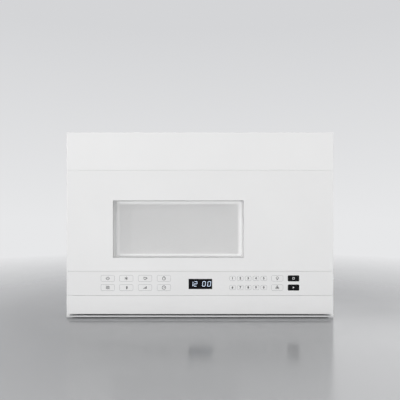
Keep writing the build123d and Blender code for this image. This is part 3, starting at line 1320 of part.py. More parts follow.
# ------------------------------------------------------------------ hinges and latch on the case
X_FLANGE_L = X_LEFT + GRILLE_WALL + SLACK
ARM_CLIP = 4.0

with BuildPart() as upper_hinge:
    z_plate = Z_GRILLE + SLACK
    with BuildSketch(Plane.XY.offset(z_plate)) as arm:
        span(X_HINGE - ARM_NEAR, X_HINGE + ARM_FAR, Y_HINGE - ARM_NEAR, Y_CASE)
        chamfer(arm.vertices().group_by(Axis.Y)[0], length=ARM_CLIP)
    extrude(amount=BRACKET_T)
    with BuildSketch(front_plane(Y_CASE)) as flange:
        span(X_FLANGE_L, X_FLANGE_L + HINGE_FLANGE_W / 2, z_plate, z_plate + HINGE_FLANGE_H)
        chamfer(flange.vertices().group_by(Axis.Y)[-1], length=ARM_CLIP)
    extrude(amount=BRACKET_T)
    with BuildSketch(Plane.XY.offset(z_plate)):
        with Locations((X_HINGE, Y_HINGE)):
            Circle(PIN_R)
    extrude(amount=-(z_plate - Z_DOOR_TOP) - BUSH_L + PIN_SHORT)
save(upper_hinge, "upper_hinge")

with BuildPart() as lower_hinge:
    with BuildSketch(Plane.XY.offset(Z_ARM)) as arm:
        span(X_HINGE - ARM_NEAR, X_HINGE + ARM_FAR, Y_HINGE - ARM_NEAR, Y_CASE)
        chamfer(arm.vertices().group_by(Axis.Y)[0], length=ARM_CLIP)
    extrude(amount=BRACKET_T)
    with BuildSketch(front_plane(Y_CASE)):
        span(X_FLANGE_L, X_FLANGE_L + HINGE_FLANGE_W, SHEET, Z_ARM + BRACKET_T)
    extrude(amount=BRACKET_T)
    with BuildSketch(Plane.XY.offset(Z_ARM + BRACKET_T)):
        with Locations((X_HINGE, Y_HINGE)):
            Circle(PIN_R)
    extrude(amount=ARM_GAP + BUSH_L - PIN_SHORT)
save(lower_hinge, "lower_hinge")

HINGE_SCREW_R = 3.0
HINGE_SCREW_INSET = 8.0
HINGE_SCREW_PITCH = 12.0
X_FLANGE_R = X_FLANGE_L + HINGE_FLANGE_W
X_HINGE_SCREWS = [X_FLANGE_R - HINGE_SCREW_INSET, X_FLANGE_R - HINGE_SCREW_INSET - HINGE_SCREW_PITCH]

with BuildPart() as hinge_screws:
    with BuildSketch(front_plane(Y_CASE - BRACKET_T)):
        z_low = (SHEET + Z_ARM + BRACKET_T) / 2
        with Locations(*[(x, z_low) for x in X_HINGE_SCREWS]):
            RegularPolygon(HINGE_SCREW_R, 6)
        x_mid = X_FLANGE_L + HINGE_FLANGE_W / 4
        with Locations((x_mid, z_plate + HINGE_FLANGE_H / 2 + BRACKET_T)):
            with GridLocations(HINGE_FLANGE_W / 4, 0, 2, 1):
                RegularPolygon(HINGE_SCREW_R, 6)
    extrude(amount=SCREW_H)
save(hinge_screws, "hinge_screws")

# Latch board: the hooks' barbs hold behind its ledges, and it carries the switches
LATCH_BOARD_T = 3.0
LATCH_BOARD_W = 34.0
LEDGE_T = HOOK_REACH - HOOK_BARB_L - SLIDE
SWITCH_H = 16.0
SWITCH_W = 6.5
SWITCH_L = 20.0
SWITCH_GAP = 1.0
SWITCH_RISE = 5.3  # of its middle over the hook's lower edge
PLUNGER_SPARE = 1.0  # of the plunger left outside when it is pressed
LATCH_BOARD_MARGIN = 34.0
LATCH_BOARD_CLIP = 4.0
Y_SWITCH = HOOK_TIP_Y + SLIDE + PLUNGER_TRAVEL + PLUNGER_SPARE
SWITCH_XS = [X_LATCH - (SWITCH_W + SWITCH_GAP) / 2, X_LATCH + (SWITCH_W + SWITCH_GAP) / 2]
Z_SWITCHES = [z + SWITCH_RISE for z in Z_HOOKS]
Z_LATCH0 = Z_HOOKS[0] - LATCH_BOARD_MARGIN
Z_LATCH1 = Z_HOOKS[1] + HOOK_H + LATCH_BOARD_MARGIN
Y_LATCH_B = Y_SWITCH + SWITCH_L

with BuildPart() as latch_board:
    x_side = X_LATCH + LATCH_BOARD_W / 2
    with BuildSketch(front_plane(Y_CAVITY_F + LATCH_BOARD_T)):
        clipped(X_LATCH - LATCH_BOARD_W / 2, x_side, Z_LATCH0, Z_LATCH1, LATCH_BOARD_CLIP)
        for z in Z_HOOKS:
            span(
                X_LATCH - LATCH_HOLE_W / 2,
                X_LATCH + LATCH_HOLE_W / 2,
                z - LATCH_HOLE_LOW,
                z + HOOK_H + LATCH_HOLE_HIGH,
                mode=Mode.SUBTRACT,
            )
    extrude(amount=LATCH_BOARD_T)
    # side web
    with BuildSketch(side_plane(x_side - LATCH_BOARD_T)):
        clipped(Y_CAVITY_F, Y_LATCH_B, Z_LATCH0, Z_LATCH1, LATCH_BOARD_CLIP)
    extrude(amount=LATCH_BOARD_T)
    for z in Z_HOOKS:
        # ledge under each hook, and the shelf that carries its switches
        with BuildSketch(side_plane(X_LATCH - LATCH_BOARD_W / 2)):
            span(Y_CAVITY_F, Y_CAVITY_F + LEDGE_T, z - SLIDE - LATCH_BOARD_T, z - SLIDE)
            z_shelf = z + SWITCH_RISE - SWITCH_H / 2
            span(Y_SWITCH, Y_LATCH_B, z_shelf - LATCH_BOARD_T, z_shelf)
        extrude(amount=LATCH_BOARD_W)
save(latch_board, "latch_board")

PLUNGER_H = 2.4
PLUNGER_W = 2.4
PLUNGER_BODY = 4.0

with BuildPart() as interlock_switches:
    for z in Z_SWITCHES:
        with BuildSketch(front_plane(Y_LATCH_B)):
            with Locations(*[(x, z) for x in SWITCH_XS]):
                Rectangle(SWITCH_W, SWITCH_H)
        extrude(amount=SWITCH_L)
        with BuildSketch(front_plane(Y_SWITCH)):
            with Locations(*[(x, z) for x in SWITCH_XS]):
                Rectangle(PLUNGER_W + 2 * RUNNING, PLUNGER_H + 2 * RUNNING)
        extrude(amount=-PLUNGER_BODY - RUNNING, mode=Mode.SUBTRACT)
save(interlock_switches, "interlock_switches")

with BuildPart() as switch_plungers:
    for z in Z_SWITCHES:
        with BuildSketch(front_plane(Y_SWITCH + PLUNGER_BODY)):
            with Locations(*[(x, z) for x in SWITCH_XS]):
                Rectangle(PLUNGER_W, PLUNGER_H)
        extrude(amount=Y_SWITCH + PLUNGER_BODY - HOOK_TIP_Y - SLIDE)
save(switch_plungers, "switch_plungers")

# ------------------------------------------------------------------ vent blower
SCROLL_FOLDS = 4  # in each quarter of the scroll's sheet
MOTOR_SIDES = 16
CRADLE_T = 2.0
CRADLE_W = 60.0
SADDLE_DROP = 14.0  # top of the saddles below the motor's axis


def scroll_outline(grow):
    """Snail shell folded along three quarter arcs, each wider by one step, and its upward outlet."""
    r1 = SCROLL_R1 + grow
    start = Vector(Y_BLOWER - SCROLL_HALF, Z_BLOWER - SCROLL_HALF)
    low = Vector(Y_BLOWER + SCROLL_HALF, Z_BLOWER - SCROLL_HALF)
    end = Vector(Y_BLOWER + SCROLL_HALF, Z_BLOWER + SCROLL_HALF)
    with BuildSketch() as outline:
        with BuildLine():
            quarters = [
                CenterArc(start, r1, 90 - TONGUE_ANGLE, 90 + TONGUE_ANGLE, mode=Mode.PRIVATE),
                CenterArc(low, r1 + SCROLL_STEP, 180, 90, mode=Mode.PRIVATE),
                CenterArc(end, r1 + 2 * SCROLL_STEP, 270, 90, mode=Mode.PRIVATE),
            ]
            folds = [arc @ (i / SCROLL_FOLDS) for arc in quarters for i in range(SCROLL_FOLDS)]
            outlet = quarters[-1] @ 1
            Polyline(*folds, outlet, (outlet.X, Z_ROOF), (folds[0].X, Z_ROOF), close=True)
        make_face()
    return outline.sketch


SCROLL_OUTSIDE = scroll_outline(SHEET)
SCROLL_INSIDE = scroll_outline(0)
INLET_R = WHEEL_R - BLADE_DEPTH

with BuildPart() as blower_housing:
    for side in (-1, 1):
        x0 = side * BLOWER_SPREAD - SCROLL_W / 2
        with BuildSketch(side_plane(x0)):
            add(SCROLL_OUTSIDE)
            half = CRADLE_W / 4
            span(Y_BLOWER - half, Y_BLOWER + half, Z_OVER, Z_BLOWER - SCROLL_R2)
        extrude(amount=SCROLL_W)
        with BuildSketch(side_plane(x0 + SHEET)):
            add(SCROLL_INSIDE)
        extrude(amount=SCROLL_W - 2 * SHEET, mode=Mode.SUBTRACT)
        with BuildSketch(side_plane(x0)):
            with Locations((Y_BLOWER, Z_BLOWER)):
                RegularPolygon(INLET_R, WHEEL_BLADES)
        extrude(amount=SCROLL_W, mode=Mode.SUBTRACT)
    # cradle plate under both scrolls, with two saddles for the motor
    with BuildSketch(Plane.XY.offset(Z_OVER)):
        x_end = BLOWER_SPREAD + SCROLL_W / 2
        span(-x_end, x_end, Y_BLOWER - CRADLE_W / 2, Y_BLOWER + CRADLE_W / 2)
    extrude(amount=BLOWER_FOOT)
    for side in (-1, 1):
        with BuildSketch(side_plane(side * BLOWER_MOTOR_L / 3 - CRADLE_T / 2)):
            half = CRADLE_W / 2
            span(Y_BLOWER - half, Y_BLOWER + half, Z_OVER, Z_BLOWER - SADDLE_DROP)
            with Locations((Y_BLOWER, Z_BLOWER)):
                RegularPolygon(BLOWER_MOTOR_R + SLIDE / 3, MOTOR_SIDES, mode=Mode.SUBTRACT)
        extrude(amount=CRADLE_T)
save(blower_housing, "blower_housing")

with BuildPart() as blower_motor:
    with BuildSketch(side_plane(-BLOWER_MOTOR_L / 2)):
        with Locations((Y_BLOWER, Z_BLOWER)):
            RegularPolygon(BLOWER_MOTOR_R, MOTOR_SIDES)
    extrude(amount=BLOWER_MOTOR_L)
    with Locations(Plane(origin=(0, Y_BLOWER, Z_BLOWER), z_dir=(1, 0, 0))):
        Hole(BLOWER_SHAFT_R + RUNNING)
save(blower_motor, "blower_motor")

with BuildPart() as blower_shaft:
    x_end = BLOWER_SPREAD + WHEEL_L / 4
    with BuildSketch(side_plane(-x_end)):
        with Locations((Y_BLOWER, Z_BLOWER)):
            Circle(BLOWER_SHAFT_R)
    extrude(amount=2 * x_end)
save(blower_shaft, "blower_shaft")

END_RING_T = 2.0
BLADE_SWEEP = BLADE_DEPTH / 2  # the blades lean forwards
BLADE_LAP = 1.5  # the blades stop short of the rings' edges

with BuildSketch() as blade:
    r_in = WHEEL_R - BLADE_DEPTH + BLADE_LAP
    r_out = WHEEL_R - BLADE_LAP
    root = (r_in, 0)
    tip = (r_out, BLADE_SWEEP)
    Polygon(root, tip, (r_out, BLADE_SWEEP + BLADE_T), (r_in, BLADE_T), align=None)

with BuildPart() as blower_wheels:
    for side in (-1, 1):
        x0 = side * BLOWER_SPREAD - WHEEL_L / 2
        # forward swept blades
        with BuildSketch(side_plane(x0)):
            with Locations((Y_BLOWER, Z_BLOWER)):
                with PolarLocations(0, WHEEL_BLADES):
                    add(blade.sketch)
        extrude(amount=WHEEL_L)
        # end rings and a disc, with a corner at each blade, and the hub in the middle
        for x_ring in (x0, x0 + WHEEL_L - END_RING_T):
            with BuildSketch(side_plane(x_ring)):
                with Locations((Y_BLOWER, Z_BLOWER)):
                    RegularPolygon(WHEEL_R, WHEEL_BLADES)
                    RegularPolygon(WHEEL_R - BLADE_DEPTH, WHEEL_BLADES, mode=Mode.SUBTRACT)
            extrude(amount=END_RING_T)
        x_disc = side * BLOWER_SPREAD
        with BuildSketch(side_plane(x_disc - END_RING_T / 2)):
            with Locations((Y_BLOWER, Z_BLOWER)):
                RegularPolygon(WHEEL_R, WHEEL_BLADES)
        extrude(amount=END_RING_T)
        with BuildSketch(side_plane(x_disc - BLOWER_HUB_R)):
            with Locations((Y_BLOWER, Z_BLOWER)):
                RegularPolygon(BLOWER_HUB_R, WHEEL_BLADES)
        extrude(amount=2 * BLOWER_HUB_R)
    with BuildSketch(side_plane(-WIDTH / 2)):
        with Locations((Y_BLOWER, Z_BLOWER)):
            Circle(BLOWER_SHAFT_R)
    extrude(amount=WIDTH, mode=Mode.SUBTRACT)
save(blower_wheels, "blower_wheels")

# ------------------------------------------------------------------ cooling fan in the bay
X_FAN = X_BAY_MID
Z_FAN = Z_MAGNETRON
FAN_SPACING = 34.0  # behind the waveguide
Y_FAN = Y_WAVEGUIDE + WAVEGUIDE_HALF + FAN_SPACING  # front of the fan's shroud
SHROUD_H = 130.0
SHROUD_D = 24.0
FAN_MOTOR_R = 19.0
FAN_MOTOR_L = 26.0
SPIDER_W = 8.0
SPIDER_T = 2.0
COLLAR_SIDES = 12

with BuildPart() as fan_shroud:
    with BuildSketch(front_plane(Y_FAN + SHEET)):
        span(X_BAY, X_RIGHT - SHEET, Z_FAN - SHROUD_H / 2, Z_FAN + SHROUD_H / 2)
        with Locations((X_FAN, Z_FAN)):
            Circle(FAN_R + FAN_TIP_GAP, mode=Mode.SUBTRACT)
    extrude(amount=SHEET)
    with BuildSketch(front_plane(Y_FAN + SHROUD_D)):
        with Locations((X_FAN, Z_FAN)):
            RegularPolygon(FAN_R + FAN_TIP_GAP + SHEET, COLLAR_SIDES, major_radius=False)
            Circle(FAN_R + FAN_TIP_GAP, mode=Mode.SUBTRACT)
    extrude(amount=SHROUD_D)
    # arms across the back that hold the motor
    with BuildSketch(front_plane(Y_FAN + SHROUD_D + SPIDER_T)):
        with Locations((X_FAN, Z_FAN)):
            Rectangle(2 * FAN_MOTOR_R, 2 * FAN_MOTOR_R)
            Rectangle(2 * (FAN_R + FAN_TIP_GAP + SHEET), SPIDER_W)
            Rectangle(SPIDER_W, 2 * (FAN_R + FAN_TIP_GAP + SHEET))
            Circle(FAN_SHAFT_R + 2 * SHEET, mode=Mode.SUBTRACT)
    extrude(amount=SPIDER_T)
save(fan_shroud, "fan_shroud")

Y_FAN_MOTOR = Y_FAN + SHROUD_D + SPIDER_T

with BuildPart() as fan_motor:
    with BuildSketch(front_plane(Y_FAN_MOTOR)):
        with Locations((X_FAN, Z_FAN)):
            Rectangle(2 * FAN_MOTOR_R, 2 * FAN_MOTOR_R)
    extrude(amount=-FAN_MOTOR_L)
    with Locations(Plane(origin=(X_FAN, Y_FAN_MOTOR, Z_FAN), z_dir=(0, -1, 0))):
        Hole(FAN_SHAFT_R + RUNNING, depth=FAN_MOTOR_L - 2 * SHEET)
save(fan_motor, "fan_motor")

FAN_BLADE_T = 1.6
FAN_CHORD = 30.0
FAN_PITCH = radians(32.0)  # from the plane in which the blades turn

with BuildPart() as cooling_fan:
    y_rear = Y_FAN + FAN_L
    with BuildSketch(front_plane(y_rear)):
        with Locations((X_FAN, Z_FAN)):
            RegularPolygon(FAN_HUB_R, 2 * FAN_BLADES)
    extrude(amount=FAN_L)
    # pitched blades, whose square tips stay inside the fan's radius
    root_r = FAN_HUB_R - FAN_BLADE_T
    tip_r = sqrt(FAN_R**2 - (FAN_CHORD / 2) ** 2)
    for i in range(FAN_BLADES):
        angle = radians(360 * i / FAN_BLADES)
        outward = Vector(cos(angle), 0, sin(angle))
        tangent = Vector(-sin(angle), 0, cos(angle))
        root = Vector(X_FAN, y_rear - FAN_L / 2, Z_FAN) + outward * root_r
        chord = tangent * cos(FAN_PITCH) + Vector(0, sin(FAN_PITCH), 0)
        with BuildSketch(Plane(origin=root, x_dir=chord, z_dir=outward)):
            Rectangle(FAN_CHORD, FAN_BLADE_T)
        extrude(amount=tip_r - root_r)
    with BuildSketch(front_plane(Y_FAN_MOTOR + FAN_MOTOR_L - 4 * SHEET)):
        with Locations((X_FAN, Z_FAN)):
            Circle(FAN_SHAFT_R)
    extrude(amount=Y_FAN_MOTOR + FAN_MOTOR_L - 4 * SHEET - y_rear)
save(cooling_fan, "cooling_fan")
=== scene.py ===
"""Looks of the over the range microwave.

Finishes, printed keys, perforated sheets, filter mesh, lights and camera. All lengths are in metres.
"""

from math import cos, pi, radians, sin, sqrt

import bpy
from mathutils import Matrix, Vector


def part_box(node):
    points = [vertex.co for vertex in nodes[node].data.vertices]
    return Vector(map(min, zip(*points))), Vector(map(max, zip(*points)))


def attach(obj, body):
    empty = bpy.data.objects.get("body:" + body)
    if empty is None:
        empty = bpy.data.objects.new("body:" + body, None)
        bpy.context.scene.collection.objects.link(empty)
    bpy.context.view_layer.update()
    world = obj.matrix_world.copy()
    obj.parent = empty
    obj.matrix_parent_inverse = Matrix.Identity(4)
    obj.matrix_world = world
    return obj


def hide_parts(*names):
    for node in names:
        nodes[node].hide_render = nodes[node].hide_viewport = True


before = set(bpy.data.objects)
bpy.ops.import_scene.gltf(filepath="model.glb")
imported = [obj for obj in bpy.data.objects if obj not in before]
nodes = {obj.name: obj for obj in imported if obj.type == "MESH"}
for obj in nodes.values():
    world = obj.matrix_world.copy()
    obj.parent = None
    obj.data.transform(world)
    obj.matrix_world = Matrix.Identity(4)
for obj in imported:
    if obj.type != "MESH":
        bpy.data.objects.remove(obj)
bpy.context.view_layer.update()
MM = 0.001


# ------------------------------------------------------------------ materials
NOISE_ROUGHNESS = 0.55


def new_material(name):
    """A material with nodes, its tree, its shader and the object's own coordinates."""
    mat = bpy.data.materials.new(name)
    mat.use_nodes = True
    tree = mat.node_tree
    shader = tree.nodes["Principled BSDF"]
    place = tree.nodes.new("ShaderNodeTexCoord")
    return mat, tree, shader, place.outputs["Object"]


def noise(tree, place, scale, detail=3.0, stretch=(1, 1, 1)):
    """Noise of that many features a metre, stretched along the axes."""
    source = place
    if stretch != (1, 1, 1):
        mapping = tree.nodes.new("ShaderNodeMapping")
        mapping.inputs["Scale"].default_value = stretch
        tree.links.new(place, mapping.inputs["Vector"])
        source = mapping.outputs["Vector"]
    node = tree.nodes.new("ShaderNodeTexNoise")
    node.inputs["Scale"].default_value = scale
    node.inputs["Detail"].default_value = detail
    node.inputs["Roughness"].default_value = NOISE_ROUGHNESS
    tree.links.new(source, node.inputs["Vector"])
    return node.outputs["Fac"]


def to_range(tree, value, low, high, start=0.3, end=0.7):
    """Maps start and end to low and high. Noise lies mostly between 0.3 and 0.7."""
    node = tree.nodes.new("ShaderNodeMapRange")
    node.inputs["From Min"].default_value = start
    node.inputs["From Max"].default_value = end
    node.inputs["To Min"].default_value = low
    node.inputs["To Max"].default_value = high
    tree.links.new(value, node.inputs["Value"])
    return node.outputs["Result"]


def mix_colour(tree, factor, first, second):
    """Colour between two colours, which may be sockets."""
    node = tree.nodes.new("ShaderNodeMix")
    node.data_type = "RGBA"
    for socket, colour in ((node.inputs[6], first), (node.inputs[7], second)):
        if isinstance(colour, bpy.types.NodeSocket):
            tree.links.new(colour, socket)
        else:
            socket.default_value = (*colour, 1.0)
    tree.links.new(factor, node.inputs[0])
    return node.outputs[2]


def add_bump(tree, shader, height, depth):
    """Bumps of that depth in metres."""
    node = tree.nodes.new("ShaderNodeBump")
    node.inputs["Strength"].default_value = 1.0
    node.inputs["Distance"].default_value = depth
    tree.links.new(height, node.inputs["Height"])
    tree.links.new(node.outputs["Normal"], shader.inputs["Normal"])


def shade(colour, factor):
    """The colour made lighter or darker by that factor."""
    return tuple(min(channel * factor, 1.0) for channel in colour)


PATCH_RATIO = 4
LOWEST_ROUGHNESS = 0.02
COAT_ROUGHNESS = 0.08


def finish(
    name,
    colour,
    roughness,
    specular=0.5,
    coat=0.0,
    mottle=0.025,
    mottle_scale=9.0,
    rough_spread=0.06,
    grain_scale=700.0,
    grain_depth=0.0,
    stretch=(1, 1, 1),
):
    """A plain finish whose colour drifts a little, whose gloss varies and whose surface has a fine grain."""
    mat, tree, shader, place = new_material(name)
    drift = noise(tree, place, mottle_scale, stretch=stretch)
    dark, light = shade(colour, 1 - mottle), shade(colour, 1 + mottle)
    base = mix_colour(tree, to_range(tree, drift, 0, 1), dark, light)
    tree.links.new(base, shader.inputs["Base Color"])
    patches = noise(tree, place, mottle_scale * PATCH_RATIO, stretch=stretch)
    lowest = max(roughness - rough_spread, LOWEST_ROUGHNESS)
    gloss = to_range(tree, patches, lowest, roughness + rough_spread)
    tree.links.new(gloss, shader.inputs["Roughness"])
    if grain_depth > 0:
        add_bump(tree, shader, noise(tree, place, grain_scale, stretch=stretch), grain_depth)
    shader.inputs["Specular IOR Level"].default_value = specular
    shader.inputs["Coat Weight"].default_value = coat
    shader.inputs["Coat Roughness"].default_value = COAT_ROUGHNESS
    return mat


SPANGLE_SCALE = 210.0
SPANGLE_TONES = (0.2, 0.8)
SPANGLE_GLOSS = 0.05


def spangled(name, colour, roughness):
    """Zinc plated sheet: small soft crystals of slightly different grey and gloss."""
    mat, tree, shader, place = new_material(name)
    crystals = tree.nodes.new("ShaderNodeTexVoronoi")
    crystals.inputs["Scale"].default_value = SPANGLE_SCALE
    tree.links.new(place, crystals.inputs["Vector"])
    grey = tree.nodes.new("ShaderNodeRGBToBW")
    tree.links.new(crystals.outputs["Color"], grey.inputs["Color"])
    tone = grey.outputs[0]
    share = to_range(tree, tone, 0, 1, *SPANGLE_TONES)
    base = mix_colour(tree, share, shade(colour, 0.96), shade(colour, 1.03))
    tree.links.new(base, shader.inputs["Base Color"])
    gloss = to_range(tree, tone, roughness - SPANGLE_GLOSS, roughness + SPANGLE_GLOSS, *SPANGLE_TONES)
    tree.links.new(gloss, shader.inputs["Roughness"])
    add_bump(tree, shader, noise(tree, place, 260.0), 0.01 * MM)
    shader.inputs["Metallic"].default_value = 0.85
    return mat


def brushed(name, colour, roughness, along=(1, 40, 40)):
    """Metal with fine lines, drawn out along the axes where the scale is low."""
    mat, tree, shader, place = new_material(name)
    lines = noise(tree, place, 30.0, detail=4.0, stretch=along)
    base = mix_colour(tree, to_range(tree, lines, 0, 1), shade(colour, 0.93), shade(colour, 1.05))
    tree.links.new(base, shader.inputs["Base Color"])
    gloss = to_range(tree, lines, roughness - 0.07, roughness + 0.07)
    tree.links.new(gloss, shader.inputs["Roughness"])
    add_bump(tree, shader, lines, 0.004 * MM)
    shader.inputs["Metallic"].default_value = 1.0
    return mat


def clear(name, colour, alpha, roughness, stipple=0.0):
    """Glass or clear plastic that lets light straight through."""
    mat, tree, shader, place = new_material(name)
    haze = noise(tree, place, 14.0)
    tree.links.new(to_range(tree, haze, roughness * 0.7, roughness * 1.3), shader.inputs["Roughness"])
    tint = mix_colour(tree, to_range(tree, haze, 0, 1), shade(colour, 0.97), colour)
    tree.links.new(tint, shader.inputs["Base Color"])
    if stipple > 0:
        add_bump(tree, shader, noise(tree, place, 420.0, detail=1.0), stipple)
    shader.inputs["Alpha"].default_value = alpha
    shader.inputs["Specular IOR Level"].default_value = 0.6
    return mat


def granules(name):
    """Coarse charcoal grains."""
    mat, tree, shader, place = new_material(name)
    grains = tree.nodes.new("ShaderNodeTexVoronoi")
    grains.inputs["Scale"].default_value = 420.0
    tree.links.new(place, grains.inputs["Vector"])
    base = mix_colour(tree, grains.outputs["Distance"], (0.012, 0.012, 0.013), (0.075, 0.075, 0.08))
    tree.links.new(base, shader.inputs["Base Color"])
    add_bump(tree, shader, grains.outputs["Distance"], 0.9 * MM)
    shader.inputs["Roughness"].default_value = 0.8
    return mat


def circuit(name, top=None):
    """Green board with copper under its lacquer. What stands over the level top is dark plastic."""
    mat, tree, shader, place = new_material(name)
    tracks = tree.nodes.new("ShaderNodeTexBrick")
    tracks.inputs["Scale"].default_value = 120.0
    tracks.inputs["Mortar Size"].default_value = 0.03
    tracks.inputs["Color1"].default_value = (0.045, 0.17, 0.075, 1)
    tracks.inputs["Color2"].default_value = (0.05, 0.19, 0.085, 1)
    tracks.inputs["Mortar"].default_value = (0.12, 0.27, 0.11, 1)
    tree.links.new(place, tracks.inputs["Vector"])
    base = tracks.outputs["Color"]
    if top is not None:
        split = tree.nodes.new("ShaderNodeSeparateXYZ")
        tree.links.new(place, split.inputs["Vector"])
        casings = mix_colour(tree, noise(tree, place, 40.0), (0.03, 0.03, 0.034), (0.09, 0.09, 0.095))
        above = to_range(tree, split.outputs["Z"], 0, 1, top, top + 0.1 * MM)
        base = mix_colour(tree, above, base, casings)
    tree.links.new(base, shader.inputs["Base Color"])
    gloss = to_range(tree, noise(tree, place, 300.0), 0.25, 0.45)
    tree.links.new(gloss, shader.inputs["Roughness"])
    add_bump(tree, shader, tracks.outputs["Fac"], 0.03 * MM)
    return mat


WAVE_SCALE = 1 / 3.14


def layered(name, colour, pitch, direction, roughness=0.45, metallic=0.6):
    """A stack of sheets, or turns of wire, of that pitch."""
    mat, tree, shader, place = new_material(name)
    waves = tree.nodes.new("ShaderNodeTexWave")
    waves.bands_direction = direction
    waves.inputs["Scale"].default_value = WAVE_SCALE / pitch
    waves.inputs["Distortion"].default_value = 0.4
    waves.inputs["Detail Scale"].default_value = 40.0
    tree.links.new(place, waves.inputs["Vector"])
    base = mix_colour(tree, waves.outputs["Fac"], shade(colour, 0.7), shade(colour, 1.1))
    tree.links.new(base, shader.inputs["Base Color"])
    gloss = to_range(tree, noise(tree, place, 90.0), roughness - 0.1, roughness + 0.1)
    tree.links.new(gloss, shader.inputs["Roughness"])
    add_bump(tree, shader, waves.outputs["Fac"], 0.12 * MM)
    shader.inputs["Metallic"].default_value = metallic
    return mat


def glowing(name, colour, strength):
    """Lit segments whose glow drifts a little at random."""
    mat, tree, shader, place = new_material(name)
    drift = noise(tree, place, 160.0)
    tint = mix_colour(tree, to_range(tree, drift, 0, 1), shade(colour, 0.92), colour)
    tree.links.new(tint, shader.inputs["Emission Color"])
    tree.links.new(tint, shader.inputs["Base Color"])
    shader.inputs["Emission Strength"].default_value = strength
    shader.inputs["Roughness"].default_value = 0.4
    return mat


WHITE = (0.82, 0.82, 0.82)
# The rail's grey is partly its own colour and partly painted shade where the rail faces down.
RAIL_GREY_AND_SHADE = (0.76, 0.765, 0.77)
RAIL_TOP = 5.5 * MM
COLOUR_STEP = 0.2 * MM


def door_moulding(name):
    """Satin white moulding whose lowest rail is grey: partly the rail's own grey, partly painted shade of its
    downturned face.
    """
    mat, tree, shader, place = new_material(name)
    split = tree.nodes.new("ShaderNodeSeparateXYZ")
    tree.links.new(place, split.inputs["Vector"])
    above_rail = to_range(tree, split.outputs["Z"], 0, 1, RAIL_TOP, RAIL_TOP + COLOUR_STEP)
    drift = to_range(tree, noise(tree, place, 8.0), 0, 1)
    white = mix_colour(tree, drift, shade(WHITE, 0.985), shade(WHITE, 1.01))
    tree.links.new(mix_colour(tree, above_rail, RAIL_GREY_AND_SHADE, white), shader.inputs["Base Color"])
    tree.links.new(to_range(tree, noise(tree, place, 30.0), 0.34, 0.46), shader.inputs["Roughness"])
    add_bump(tree, shader, noise(tree, place, 2600.0), 0.006 * MM)
    return mat


# Grain and drift shared by pieces that are made in the same way.
SATIN = {"rough_spread": 0.03, "mottle": 0.01, "grain_scale": 2600.0, "grain_depth": 0.004 * MM}
COARSE_SATIN = SATIN | {"grain_depth": 0.006 * MM}
ENAMEL = {"rough_spread": 0.02, "mottle": 0.01, "grain_scale": 1400.0, "grain_depth": 0.0015 * MM}
MOULDED = {"grain_scale": 1800.0, "grain_depth": 0.02 * MM}
NYLON = {"grain_scale": 1500.0, "grain_depth": 0.01 * MM}
WORN_NYLON = {"grain_scale": 1500.0, "grain_depth": 0.012 * MM}
SHEET_ENAMEL = {"grain_scale": 900.0, "grain_depth": 0.01 * MM}
MICA = {"mottle": 0.14, "mottle_scale": 60.0, "rough_spread": 0.12, "stretch": (1, 1, 3)}
CERAMIC = {"grain_scale": 900.0, "grain_depth": 0.015 * MM}
CASINGS_HEIGHT = 27.9 * MM
BOARD_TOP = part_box("power_board")[1].z - CASINGS_HEIGHT

